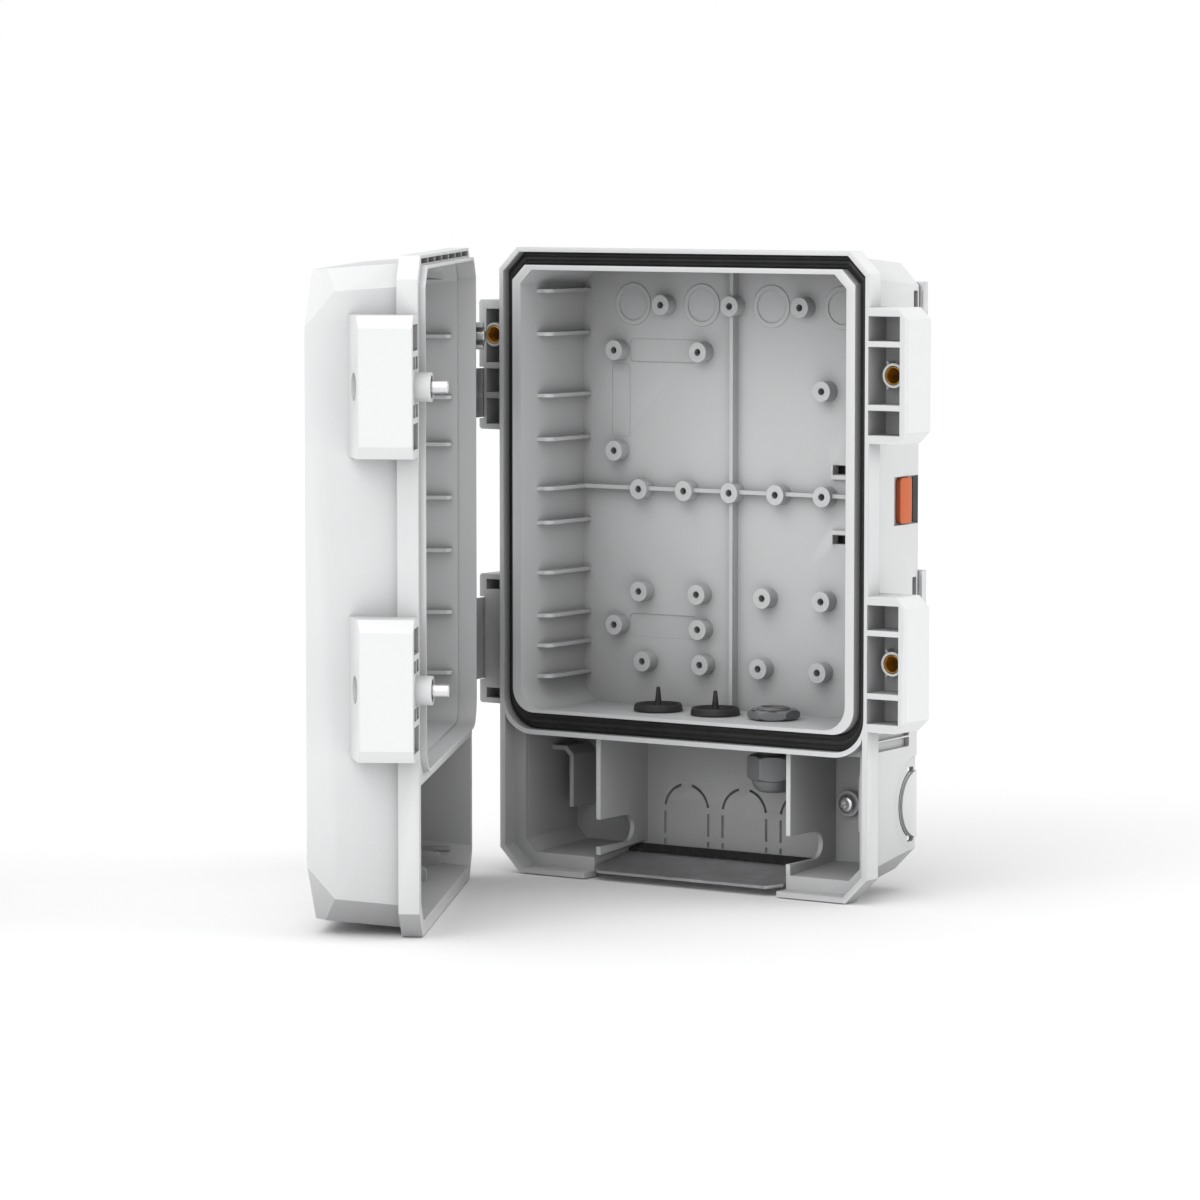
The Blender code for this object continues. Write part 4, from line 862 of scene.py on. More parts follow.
def smooth(mesh, angle=16):
    """Smooth shading with face-weighted normals and the sharp edges kept."""
    mesh.shade_smooth()
    mesh.set_sharp_from_angle(angle=math.radians(angle))
    for face in mesh.polygons:
        face.use_smooth = face.area < FLAT_AREA
    holder = holder_of(mesh)
    step = holder.modifiers.new("normals", "WEIGHTED_NORMAL")
    step.keep_sharp = True
    step.weight = 60
    return evaluated(holder)


CLAMP = False


def piece(name, mesh, finish, body, replaced=(), place=CASE, edge=0.0, segments=2, angle=16):
    """A visible piece on a body, standing for CAD nodes, with rounded edges."""
    if edge:
        mesh = rounded(mesh, edge, segments)
    mesh = smooth(mesh, angle)
    mesh.transform(place)
    mesh.materials.clear()
    mesh.materials.append(FINISH[finish])
    made = bpy.data.objects.new(name, mesh)
    bpy.context.scene.collection.objects.link(made)
    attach(made, body)
    if replaced:
        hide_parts(*replaced)
    return made


# --- more mesh makers --------------------------------------------------------------------------
TURNED = {
    "x": Matrix(((0, 0, 1), (1, 0, 0), (0, 1, 0))),
    "y": Matrix(((0, 1, 0), (0, 0, 1), (1, 0, 0))),
    "z": Matrix.Identity(3),
}


def lathe(profile, centre, along, sides=FINE, ripple=None):
    """Turn a closed profile of (radius, height) about an axis; ripple(angle) adds to the outer radii."""
    bm = bmesh.new()
    rings = []
    for radius, height in profile:
        if radius < 1e-7:
            rings.append([bm.verts.new((0, 0, height))])
            continue
        ring = []
        for step in range(sides):
            turn = 2 * math.pi * step / sides
            grown = radius + (ripple(turn) if ripple else 0.0)
            ring.append(bm.verts.new((grown * math.cos(turn), grown * math.sin(turn), height)))
        rings.append(ring)
    closed = profile[0][0] > 1e-7 and profile[-1][0] > 1e-7
    pairs = list(zip(rings, rings[1:])) + ([(rings[-1], rings[0])] if closed else [])
    for one, two in pairs:
        for step in range(sides):
            after = (step + 1) % sides
            if len(one) == 1 and len(two) == 1:
                continue
            if len(one) == 1:
                bm.faces.new((one[0], two[after], two[step]))
            elif len(two) == 1:
                bm.faces.new((one[step], one[after], two[0]))
            else:
                bm.faces.new((one[step], one[after], two[after], two[step]))
    bmesh.ops.recalc_face_normals(bm, faces=bm.faces)
    bmesh.ops.transform(bm, matrix=TURNED[along].to_4x4(), verts=bm.verts)
    bmesh.ops.translate(bm, vec=centre, verts=bm.verts)
    bmesh.ops.recalc_face_normals(bm, faces=bm.faces)
    return mesh_of(bm)


def profile(base, points):
    """A turned outline from radii and heights above a base in millimetres."""
    return [(radius * MM, base + height * MM) for radius, height in points]


def thread(radius, depth, start, end, pitch, inner):
    """Profile of a threaded sleeve between two heights, as closely set grooves."""
    points = [(inner, start), (radius - depth, start)]
    turns = int((end - start) / pitch)
    for number in range(turns):
        low = start + number * pitch
        points += [(radius - depth, low + 0.12 * pitch), (radius, low + 0.45 * pitch)]
        points += [(radius, low + 0.6 * pitch), (radius - depth, low + 0.92 * pitch)]
    return points + [(radius - depth, end), (inner, end)]


def sector(x, z, r_in, r_out, start, end, steps=14):
    """Outline of part of a ring, angles in degrees."""
    turns = [math.radians(start + (end - start) * step / steps) for step in range(steps + 1)]
    outer = [(x + r_out * math.cos(t), z + r_out * math.sin(t)) for t in turns]
    inner = [(x + r_in * math.cos(t), z + r_in * math.sin(t)) for t in reversed(turns)]
    return outer + inner


def soft_box(x_span, z_span, radius, steps=6, corners=(1, 1, 1, 1)):
    """Rounded rectangle in x and z; corners says which are round, from low-low anticlockwise."""
    (x0, x1), (z0, z1) = x_span, z_span
    spots = [(x0, z0, 180), (x1, z0, 270), (x1, z1, 0), (x0, z1, 90)]
    points = []
    for (x, z, start), wanted in zip(spots, corners):
        if not wanted:
            points.append((x, z))
            continue
        cx = x + radius if x == x0 else x - radius
        cz = z + radius if z == z0 else z - radius
        for step in range(steps + 1):
            turn = math.radians(start + 90 * step / steps)
            points.append((cx + radius * math.cos(turn), cz + radius * math.sin(turn)))
    return points


def wall_x(y):
    """Outer face of the case's right wall at a depth."""
    return HALF_WIDTH - SHELL_INSET - SIDE_DRAFT * (y - RIM_DEPTH)


def leaned(mesh):
    """Lean a cutter drawn for the plane x = 0 onto the sloping right wall."""
    for vertex in mesh.vertices:
        vertex.co.x += wall_x(vertex.co.y)
    return mesh


# --- base shell --------------------------------------------------------------------------------
def knockout_rings():
    """Raised rings round the round knockouts on the back wall."""
    rings = []
    for x in KNOCKOUTS:
        ring = [circle(x, KNOCKOUT_Z, radius, 56) for radius in RING_RADII]
        rings.append(slab(ring, BACK_WALL - RING_HEIGHT, BACK_WALL + OVERLAP))
    return joined(rings)


def arch_slots():
    """Dashed slots of the arched knockouts in the lower back wall."""
    cuts = []
    r_in, r_out = ARCH_RADIUS - ARCH_SLOT / 2, ARCH_RADIUS + ARCH_SLOT / 2
    y_span = (BACK_WALL - OVERLAP, BACK_WALL + THROUGH)
    for x in ARCHES:
        for start, end in ((9, 76), (104, 171)):
            cuts.append(slab([sector(x, ARCH_Z, r_in, r_out, start, end)], *y_span))
        for side in (-1, 1):
            x_span = (x + side * r_in, x + side * r_out)
            cuts += [block(x_span, y_span, z_span) for z_span in ARCH_DASHES]
    return cuts


def label_recesses():
    """Shallow plain panels between the bosses on the back wall."""
    span = (BACK_WALL - OVERLAP, BACK_WALL + LABEL_DEPTH)
    return [slab([soft_box(x_span, z_span, 0.0025)], *span) for x_span, z_span in PANELS]


def side_cuts():
    """Slots, pockets and the half-round knockout in the right wall."""
    y, z = HALF_ROUND
    _, slot_in, slot_out, recess = HALF_ROUND_RADII
    outlines = [(soft_box(y_span, z_span, 0.0008), 0.006) for y_span, z_span in SIDE_SLOTS]
    outlines += [(soft_box(LONG_SLOT_Y, z_span, 0.0010), 0.0026) for z_span in LONG_SLOTS]
    outlines += [(circle(y, z, recess, 72), 0.0009), (sector(y, z, slot_in, slot_out, 112, 248, 40), 0.0060)]
    for middle in (z + slot_in, z - slot_in):
        outlines.append((soft_box((0.0512, 0.0575), (middle - 0.0012, middle + 0.0014), 0.0011), 0.0060))
    return [leaned(side_slab(points, -depth, THROUGH)) for points, depth in outlines]


def side_disc():
    """Raised disc inside the half-round knockout."""
    y, z = HALF_ROUND
    points = [p for p in circle(y, z, HALF_ROUND_RADII[0], 72) if p[0] < HALF_ROUND_END]
    points.sort(key=lambda p: math.atan2(p[1] - z, p[0] - y) % (2 * math.pi))
    return leaned(side_slab(points, -0.0020, 0.0004))


def snap_pockets():
    """Pockets of the two latch windows on the back wall."""
    spans = LATCH_X[1:3], (BACK_WALL - OVERLAP, BACK_WALL + THROUGH)
    return [block(*spans, z_span) for z_span in LATCH_WINDOWS]


def snap_flanges():
    """Raised angle flanges beside the latch windows."""
    y_span = (BACK_WALL - 0.0022, BACK_WALL + 0.0005)
    adds = []
    for z_span, foot in LATCH_FLANGES:
        adds.append(block(LATCH_X[:2], y_span, z_span))
        adds.append(block((LATCH_X[0], LATCH_X[3]), y_span, foot))
    return adds


def soft_ribs(heights, wall, tip, front, back, radius, steps):
    """Ribs on both side walls at some heights, with their front corner rounded."""
    way = math.copysign(1.0, back - front)
    points = [(wall, front - way * 0.002)]
    for step in range(steps + 1):
        turn = math.radians(90 * step / steps)
        y = front + way * radius * (1 - math.cos(turn))
        points.append((tip + radius * (1 - math.sin(turn)), y))
    points += [(tip, back), (wall, back)]
    ribs = []
    for z in heights:
        rib = level_slab(points, z - RIB_THICKNESS / 2, z + RIB_THICKNESS / 2)
        ribs += [rib, mirrored(rib)]
    return ribs


def round_ribs():
    """Ribs on the side walls of the upper compartment."""
    tip = CAVITY_HALF - CAVITY_DRAFT * BACK_WALL - RIB_LENGTH
    heights = RIB_HEIGHTS + (CROSS_RIB_Z,)
    wall = CAVITY_HALF + 0.0005
    return soft_ribs(heights, wall, tip, RIB_FRONT, BACK_WALL + OVERLAP, RIB_RADIUS, 6)


def block_webs():
    """Thin diagonal webs that tie each insert's boss to its block."""
    webs = []
    for low, high in BLOCK_SPANS.values():
        middle = (low + high) / 2
        for side in (-1, 1):
            web = block((0.1055, 0.1205), (0.0100, 0.0200), (middle - 0.0006, middle + 0.0006))
            centre = Matrix.Translation((SCREW_X, 0, middle))
            web.transform(centre @ Matrix.Rotation(math.radians(side * WEB_TURN), 4, "Y") @ centre.inverted())
            webs.append(web)
    return webs


def make_base():
    """The moulded case, finer than its CAD node."""
    rim = slab([outline(HALF_WIDTH, 0.0, HEIGHT, TOP_CUT, FOOT_CUT)], 0.0, RIM_DEPTH)
    shell = slab([outline(HALF_WIDTH - SHELL_INSET, SHELL_FOOT, SHELL_TOP, TOP_CUT, FOOT_CUT)],
                 RIM_DEPTH - OVERLAP, SHELL_DEPTH)
    draft(shell, RIM_DEPTH - OVERLAP, SIDE_DRAFT, FOOT_DRAFT, TOP_DRAFT)
    steps = [("UNION", shell), ("UNION", base_blocks())]
    steps += [("DIFFERENCE", cut) for cut in base_cavities()]
    steps += [("DIFFERENCE", base_block_cuts()), ("UNION", base_insert_bosses())]
    steps += [("UNION", web) for web in block_webs()]
    steps += [("UNION", rib) for rib in round_ribs()]
    steps += [("UNION", rib) for rib in back_ribs()]
    steps += [("UNION", base_bosses()), ("UNION", knockout_rings()), ("UNION", lower_fittings())]
    steps += [("DIFFERENCE", bottom_opening()), ("DIFFERENCE", slider_recess())]
    steps += [("DIFFERENCE", cut) for cut in side_cuts() + snap_pockets() + arch_slots() + label_recesses()]
    steps += [("UNION", side_disc())] + [("UNION", flange) for flange in snap_flanges()]
    steps += [("DIFFERENCE", base_insert_bores()), ("DIFFERENCE", base_boss_holes())]
    steps += [("DIFFERENCE", base_holes())]
    mesh = tidy(combine(rim, steps))
    return piece("case_moulding", mesh, "light_grey_plastic", "case", ["base_shell"])


# --- cover -------------------------------------------------------------------------------------
def rim_cells():
    """Row of open cells between the skirt and the tongue, along the top."""
    cuts = []
    step = (2 * RIM_CELL_HALF + RIM_CELL_WALL) / RIM_CELLS
    for number in range(RIM_CELLS):
        low = -RIM_CELL_HALF + number * step
        cuts.append(block((low, low + step - RIM_CELL_WALL), (-0.0070, OVERLAP), RIM_CELL_Z))
    return cuts


def cover_ribs():
    """Ribs on the inner side walls of the upper tray."""
    return soft_ribs(COVER_RIBS, 0.0990, 0.0932, -0.0090, -0.0500, 0.0030, 5)


def cover_fins():
    """Rounded fins that stand in the lower tray, and a shelf on its hinge side."""
    points = [(-0.0500, 0.0040), (-0.0132, 0.0040)]
    for step in range(7):
        turn = math.radians(15 * step)
        points.append((-0.0157 + 0.0025 * math.cos(turn), 0.0125 + 0.0025 * math.sin(turn)))
    points.append((-0.0500, 0.0180))
    fins = [side_slab(points, x - 0.0008, x + 0.0008) for x in FIN_PLACES]
    shelf = side_slab(soft_box((-0.0480, -0.0100), (0.0135, 0.0153), 0.0008, 4), -0.0990, -0.0930)
    return fins + [shelf]


def hanging_slot():
    """Dark rounded slot high on the hinge side of the upper tray."""
    slot = side_slab(soft_box((-0.0330, -0.0098), (0.2902, 0.2940), 0.0017), -0.0988, -0.0900)
    for vertex in slot.vertices:
        if vertex.co.x < -0.0950:
            vertex.co.x = vertex.co.z - 0.3870  # follows the corner chamfer, 0.9 mm deep
    return slot


def mouth_step():
    """Slightly wider mouth of the upper tray, which leaves a fine ledge."""
    half, low, high, cut, radius = TONGUE
    wall = TONGUE_WALL - 0.0005
    inner = outline(half - wall, low + wall, high - wall, cut - wall / 2, radius - wall, ARC_STEPS)
    return slab([inner], STEP_Y, TONGUE_TIP + OVERLAP)


def sleeve_pockets():
    """Narrow twin pockets above and below each sleeve, in the rim side of the screw blocks."""
    cuts = []
    tall = WINDOW_TALL / 2
    for low, high in BLOCK_SPANS.values():
        middle = (low + high) / 2
        for z_span in ((middle - tall, middle - POCKET_EDGE), (middle + POCKET_EDGE, middle + tall)):
            for x_span in ((HALF_WIDTH, SCREW_X - 0.0007), (SCREW_X + 0.0007, BLOCK_OUT - WINDOW_SIDE)):
                cuts.append(block(x_span, (-0.0200, OVERLAP), z_span))
    return cuts


def make_cover():
    """The moulded cover, finer than its CAD node."""
    skirt = slab([outline(HALF_WIDTH, 0.0, HEIGHT, TOP_CUT, FOOT_CUT)], -COVER_SKIRT, -SEAM)
    tongue = slab([outline(*TONGUE, ARC_STEPS)], -COVER_SKIRT, TONGUE_TIP)
    upper, lower = cover_hollows()
    wells, necks, bores = cover_block_cuts()
    steps = [("UNION", cover_body()), ("UNION", tongue), ("UNION", cover_blocks())]
    steps += [("DIFFERENCE", knuckle_rooms())]
    steps += [("UNION", lug) for lug in hinge_lugs()]
    steps += [("UNION", cover_sleeves()), ("DIFFERENCE", upper), ("DIFFERENCE", lower)]
    steps += [("DIFFERENCE", mouth_step())]
    for rib in cover_ribs() + cover_fins():
        steps.append(("UNION", combine(rib, [("INTERSECT", cover_body())])))
    inner = -HINGE_SLEEVE_INNER
    height = (HINGE_SCREW_Z - 0.008, HINGE_SCREW_Z + 0.008)
    open_side = block((inner, inner + 0.01), (GAP - SEAM, 0.02), height)
    cuts = [hanging_slot(), cover_windows()] + sleeve_pockets() + rim_cells()
    cuts += [wells, necks, bores, open_side] + pin_rooms()
    steps += [("DIFFERENCE", cut) for cut in cuts]
    mesh = tidy(combine(skirt, steps))
    return piece("cover_moulding", mesh, "light_grey_plastic", "cover", ["cover_shell"], OPEN)


# --- gasket, screws, inserts -------------------------------------------------------------------
def make_gasket():
    """Ribbed rubber seal swept round the groove."""
    half, low, high, cut, radius = GROOVE_OUTER
    outer = outline(half - GAP, low + GAP, high - GAP, cut, radius, ARC_STEPS)
    half, low, high, cut, radius = GROOVE_INNER
    inner = outline(half + GAP, low - GAP, high + GAP, cut, radius, ARC_STEPS)
    bm = bmesh.new()
    rows = []
    for (x_in, z_in), (x_out, z_out) in zip(inner, outer):
        across = Vector((x_out - x_in, 0.0, z_out - z_in))
        start = Vector((x_in, 0.0, z_in))
        rows.append([bm.verts.new(start + across * t + Vector((0.0, y * MM, 0.0))) for t, y in SEAL_PROFILE])
    for number, row in enumerate(rows):
        after = rows[(number + 1) % len(rows)]
        for spot in range(len(row)):
            along = (spot + 1) % len(row)
            bm.faces.new((row[spot], row[along], after[along], after[spot]))
    bmesh.ops.recalc_face_normals(bm, faces=bm.faces)
    piece("rim_seal", mesh_of(bm), "black_rubber", "case", ["gasket"], angle=40)


def make_inserts():
    """Brass inserts with a threaded bore."""
    grooves = 9
    for name, (side, z, face, _) in insert_places().items():
        start, end = face, face + INSERT_LENGTH
        points = [(INSERT_MOUTH, start), (INSERT_RADIUS - 0.0003, start), (INSERT_RADIUS, start + 0.0003)]
        points += [(INSERT_RADIUS, end - 0.0004), (INSERT_RADIUS - 0.0004, end), (0.0031, end)]
        for number in range(grooves):
            y = end - 0.0006 - number * (end - start - 0.0022) / grooves
            points += [(0.00306, y), (0.00335, y - 0.0004)]
        points += [(0.0032, start + 0.0011), (0.0037, start + 0.0003)]
        mesh = lathe(points, (side * SCREW_X, 0, z), "y", 64)
        piece(f"insert_{name}", mesh, "brass", "case", [f"brass_insert_{name}"])


def screw_outline(head_start, head_end, clip, tip):
    """Outline of a screw with a socket head and a groove for its clip."""
    seat = head_end - 0.0001
    groove_end = clip + CLIP_THICKNESS
    points = profile(head_start, ((0.0, 3.0), (2.6, 3.0), (2.7, 0.2), (3.1, 0.0), (4.6, 0.0), (5.0, 0.5)))
    points += [(SCREW_HEAD_RADIUS, seat - 0.0003), (SCREW_HEAD_RADIUS - 0.0003, seat), (SCREW_RADIUS, seat)]
    points += [(SCREW_RADIUS, clip - 0.0003), (SCREW_GROOVE_RADIUS, clip - 0.0002)]
    points += [(SCREW_GROOVE_RADIUS, groove_end + 0.0002), (SCREW_RADIUS, groove_end + 0.0003)]
    points += [(SCREW_RADIUS, tip - 0.0007), (SCREW_RADIUS - 0.0002, tip - 0.0003)]
    return points + [(SCREW_RADIUS - 0.0007, tip), (0.0, tip)]


def make_screws():
    """Captive cover screws and their retaining clips."""
    inner = SCREW_GROOVE_RADIUS + 0.0001
    for name, (side, z, _, (tip, shank, clip_offset)) in screw_places().items():
        place = (side * SCREW_X, 0, z)
        head_end = tip - shank
        clip = tip - clip_offset
        mesh = lathe(screw_outline(head_end - SCREW_HEAD_LENGTH, head_end, clip, tip), place, "y", 48)
        piece(f"screw_{name}", mesh, "steel", f"screw_{name}", [f"cover_screw_{name}"], OPEN)
        ring = [(inner, clip + 0.0001), (0.0026, clip), (CLIP_RADIUS - 0.0002, clip)]
        ring += [(CLIP_RADIUS, clip + 0.0002), (CLIP_RADIUS, clip + 0.0008)]
        ring += [(CLIP_RADIUS - 0.0002, clip + CLIP_THICKNESS), (0.0026, clip + CLIP_THICKNESS)]
        ring.append((inner, clip + 0.0009))
        mesh = lathe(ring, place, "y", 40)
        piece(f"clip_{name}", mesh, "grey_nylon", f"clip_{name}", [f"screw_clip_{name}"], OPEN)


# --- hinges ------------------------------------------------------------------------------------
def make_hinges():
    """Pressed steel leaves with rolled knuckles, and headed pins."""
    axis = (AXIS.x, AXIS.y, 0)
    for name, (low, high) in KNUCKLES.items():
        middle = (low + high) / 2
        bore = rod(axis, "z", low - OVERLAP, high + OVERLAP, PIN_RADIUS + GAP, 32)
        steps = [("UNION", block(LEAF_X, (AXIS.y, LEAF_BACK), (low, high))), ("DIFFERENCE", bore)]
        for z in (low + 0.006, high - 0.006):
            steps.append(("UNION", rod((LEAF_X[0], 0.013, z), "x", -0.0007, 0.0004, 0.0022, 24, 0.0026)))
        x_span = (LEAF_X[0] - 0.0004, LEAF_X[0] + 0.0003)
        steps.append(("DIFFERENCE", block(x_span, (0.0018, 0.0180), (middle - 0.0004, middle + 0.0004))))
        mesh = tidy(combine(rod(axis, "z", low, high, KNUCKLE_RADIUS, 48), steps))
        piece(f"leaf_{name}", mesh, "zinc_sheet", "case", [f"hinge_leaf_{name}"])
        top = high + GAP * 2 + LUG_HEIGHT
        foot = low - GAP - LUG_HEIGHT
        points = [(0.0, foot), (PIN_RADIUS - 0.0004, foot), (PIN_RADIUS, foot + 0.0004), (PIN_RADIUS, top)]
        points += [(PIN_HEAD_RADIUS, top), (PIN_HEAD_RADIUS, top + PIN_HEAD / 2)]
        points += [(PIN_HEAD_RADIUS - PIN_HEAD / 2, top + PIN_HEAD), (0.0, top + PIN_HEAD)]
        piece(f"pin_{name}", lathe(points, axis, "z", 32), "steel", "case", [f"hinge_pin_{name}"])


# --- plugs and gland ---------------------------------------------------------------------------
def make_plugs():
    """Blanking plugs with a dished flange, a snap neck and a tapered pull stem."""
    points = profile(CAVITY_FLOOR - FLOOR_THICKNESS, PLUG_FOOT)
    points += profile(CAVITY_FLOOR + GAP, PLUG_FLANGE) + profile(STEM_TOP, PLUG_TIP)
    for name, x in PLUG_PLACES.items():
        mesh = lathe(points, (x, FLOOR_Y, 0), "z", 56)
        piece(f"plug_{name}", mesh, "black_rubber", "case", [f"blanking_plug_{name}"])


def hex_nut(x, y, start, end, half_flats, hole, chamfer):
    """Chamfered hexagonal nut with a hole."""
    nut = rod((x, y, 0), "z", start, end, half_flats / math.cos(math.pi / 6), 6)
    corner = half_flats / math.cos(math.pi / 6)
    limits = [(0.0, start - 0.001), (half_flats - 0.0002, start - 0.0001), (corner + 0.0002, start + chamfer)]
    limits += [(corner + 0.0002, end - chamfer), (half_flats - 0.0002, end + 0.0001), (0.0, end + 0.001)]
    steps = [("INTERSECT", lathe(limits, (x, y, 0), "z", 64))]
    steps += [("DIFFERENCE", rod((x, y, 0), "z", start - 0.002, end + 0.002, hole, FINE))]
    return tidy(combine(nut, steps))


def make_gland():
    """Cable gland through the floor: locknut, threaded body, seal and dome nut."""
    x, y = GLAND_X, FLOOR_Y
    place = (x, y, 0)
    roof = CAVITY_FLOOR - FLOOR_THICKNESS
    nut = hex_nut(x, y, CAVITY_FLOOR + GAP, CAVITY_FLOOR + 0.0048, GLAND_HEX, GLAND_THREAD + 0.0001, 0.0012)
    piece("locknut", nut, "grey_nylon", "case", ["gland_locknut"], CASE, 0.00025)
    bodies = [hex_nut(x, y, roof - GAP - 0.0052, roof - GAP, GLAND_HEX, 0.0062, 0.0011)]
    for span in ((roof - 0.001, CAVITY_FLOOR + 0.0062), (roof - 0.0215, roof - 0.005)):
        bodies.append(lathe(thread(GLAND_THREAD, THREAD_DEPTH, *span, THREAD_PITCH, 0.0062), place, "z", 56))
    piece("gland_tube", joined(bodies), "grey_nylon", "case", ["gland_body"])
    seal = lathe(profile(roof, GLAND_SEAL), place, "z", 48)
    piece("gland_seal", seal, "black_rubber", "case", ["gland_insert"])
    top = roof - 0.0140
    corner = GLAND_HEX / math.cos(math.pi / 6)
    limits = [(0.0, top - 0.0125), (GLAND_HEX - 0.0003, top - 0.0121), (corner + 0.0002, top - 0.0105)]
    limits += [(corner + 0.0002, top - 0.0012), (GLAND_HEX - 0.0002, top + 0.0001), (0.0, top + 0.001)]
    dome = lathe(profile(top, GLAND_DOME), place, "z", 56)
    steps = [("INTERSECT", lathe(limits, place, "z", 64)), ("UNION", dome)]
    bores = ((-0.0100, OVERLAP, GLAND_THREAD + GAP), (-0.0190, -0.0090, 0.0050), (-0.0110, -0.0090, 0.0064))
    for start, end, radius in bores:
        steps.append(("DIFFERENCE", rod(place, "z", top + start, top + end, radius, FINE)))
    mesh = tidy(combine(rod(place, "z", top - 0.0120, top, corner, 6), steps))
    piece("dome_nut_cap", mesh, "grey_nylon", "dome_nut", ["gland_dome_nut"], CASE, 0.00025)


# --- bracket, fixings, latch, plate ------------------------------------------------------------
def make_bracket():
    """Flat wall bracket with ears, counterbored holes and pressed beads."""
    span = (BRACKET_FRONT, WALL_Y)
    pressed = (WALL_Y - 0.0008, WALL_Y + OVERLAP)
    through = (BRACKET_FRONT - OVERLAP, WALL_Y + OVERLAP)
    cuts = []
    for z in (0.255, 0.075):
        for x in (-0.045, 0.045):
            cuts += [rod((x, 0, z), "y", *through, 0.0035, 32), rod((x, 0, z), "y", *pressed, 0.0062, 40)]
    for side in (-1, 1):
        cuts.append(rod((side * FIXING_X, 0, FIXING_Z), "y", *through, FIXING_SHANK_RADIUS + GAP, 24))
        bead = soft_box(sorted((side * 0.066, side * 0.076)), (0.100, 0.245), 0.0045)
        cuts.append(slab([bead], *pressed))
    cuts.append(slab([soft_box((-0.020, 0.020), (0.060, 0.270), 0.008)], *pressed))
    half = BRACKET_EAR_HALF
    steps = [("UNION", block((-half, half), span, ear)) for ear in BRACKET_EARS]
    steps += [("DIFFERENCE", cut) for cut in cuts]
    mesh = tidy(combine(block((-BRACKET_HALF, BRACKET_HALF), span, BRACKET_SPAN), steps))
    piece("bracket_plate", mesh, "coated_steel", "case", ["wall_bracket"])


def make_fixings():
    """Screws with a six-lobed recess that hold the case on its bracket."""
    start = BACK_WALL - 0.0070
    end = BACK_WALL - 0.0040 - GAP
    points = profile(start, FIXING_HEAD) + [(FIXING_HEAD_RADIUS, end), (FIXING_SHANK_RADIUS, end)]
    points += [(FIXING_SHANK_RADIUS, WALL_Y - OVERLAP), (0.0, WALL_Y - OVERLAP)]
    recess = profile(start, ((0.0, -1.0), (1.6, -1.0), (1.6, 1.5), (0.0, 1.5)))
    for name, side in (("left", -1), ("right", 1)):
        place = (side * FIXING_X, 0, FIXING_Z)
        lobes = lathe(recess, place, "y", 48, lambda turn: 0.00032 * math.cos(6 * turn))
        mesh = tidy(combine(lathe(points, place, "y", 48), [("DIFFERENCE", lobes)]))
        piece(f"fixing_{name}", mesh, "steel", "case", [f"mounting_screw_{name}"])


def make_latch():
    """Orange lock slider with a stepped tongue, and the plain dark plate beside it."""
    surface = wall_x(SLIDER_Y[0])
    floor = surface - SLIDER_RECESS + GAP
    low, high = SLIDER_Z[0] + GAP, SLIDER_Z[1] - GAP
    front = soft_box((SLIDER_Y[0], 0.0508), (low, high), 0.0022, 6, (1, 0, 0, 1))
    rear = soft_box((0.0500, SLIDER_Y[1]), (low + 0.0016, high - 0.0010), 0.0003, 3)
    tongue = side_slab(rear, floor, surface - 0.0002)
    mesh = tidy(combine(side_slab(front, floor, surface + 0.0005), [("UNION", tongue)]))
    piece("slider_button", mesh, "orange_plastic", "slider", ["lock_slider"], CASE, 0.0003)
    label = side_slab(soft_box(LABEL_Y, (low, high), 0.0014, 6, (0, 1, 1, 0)), floor, surface - 0.0012)
    piece("plate_blank", label, "black_plastic", "case", ["position_plate"], CASE, 0.0002)


def make_plate():
    """Sheet steel entry plate with a turned front edge, and the foam strip behind it."""
    turn = Matrix.Rotation(PLATE_SLOPE, 4, "X")
    x_low, x_high = PLATE_X
    start, end = PLATE_Y
    points = [(x_low + PLATE_CUT, start), (x_high - PLATE_CUT, start), (x_high, start + PLATE_CUT)]
    points += [(x_high, end), (x_low, end), (x_low, start + PLATE_CUT)]
    sheet = slab([points], -PLATE_THICKNESS / 2, PLATE_THICKNESS / 2)
    sheet.transform(Matrix.Rotation(-math.pi / 2, 4, "X"))
    sheet.transform(turn)
    moved(sheet, Vector((0, 0, PLATE_Z)))
    piece("steel_sheet", sheet, "zinc_sheet", "plate", ["entry_plate"], CASE, 0.0003, 3)
    strip = block((x_low, x_high), (end + 2 * GAP, OPENING_BACK - GAP), (-0.0010, 0.0022))
    strip.transform(turn)
    moved(strip, Vector((0, 0, PLATE_Z)))
    bm = bmesh.new()
    bm.from_mesh(strip)
    bmesh.ops.subdivide_edges(bm, edges=bm.edges, cuts=7, use_grid_fill=True)
    piece("foam_strip", mesh_of(bm), "foam", "case", ["entry_foam"], CASE)


# --- materials ---------------------------------------------------------------------------------
def graph(name):
    """A material with a Principled shader, and short calls to add to its graph."""
    made = bpy.data.materials.new(name)
    made.use_nodes = True
    tree = made.node_tree
    shader = tree.nodes["Principled BSDF"]
    coords = tree.nodes.new("ShaderNodeTexCoord").outputs["Object"]
    return made, tree, shader, coords


def noise(tree, coords, scale, detail=3.0, stretch=None):
    """Noise in object space; stretch scales the axes."""
    if stretch:
        mapping = tree.nodes.new("ShaderNodeMapping")
        mapping.inputs["Scale"].default_value = stretch
        tree.links.new(coords, mapping.inputs["Vector"])
        coords = mapping.outputs["Vector"]
    texture = tree.nodes.new("ShaderNodeTexNoise")
    texture.inputs["Scale"].default_value = scale
    texture.inputs["Detail"].default_value = detail
    tree.links.new(coords, texture.inputs["Vector"])
    return texture.outputs["Fac"]


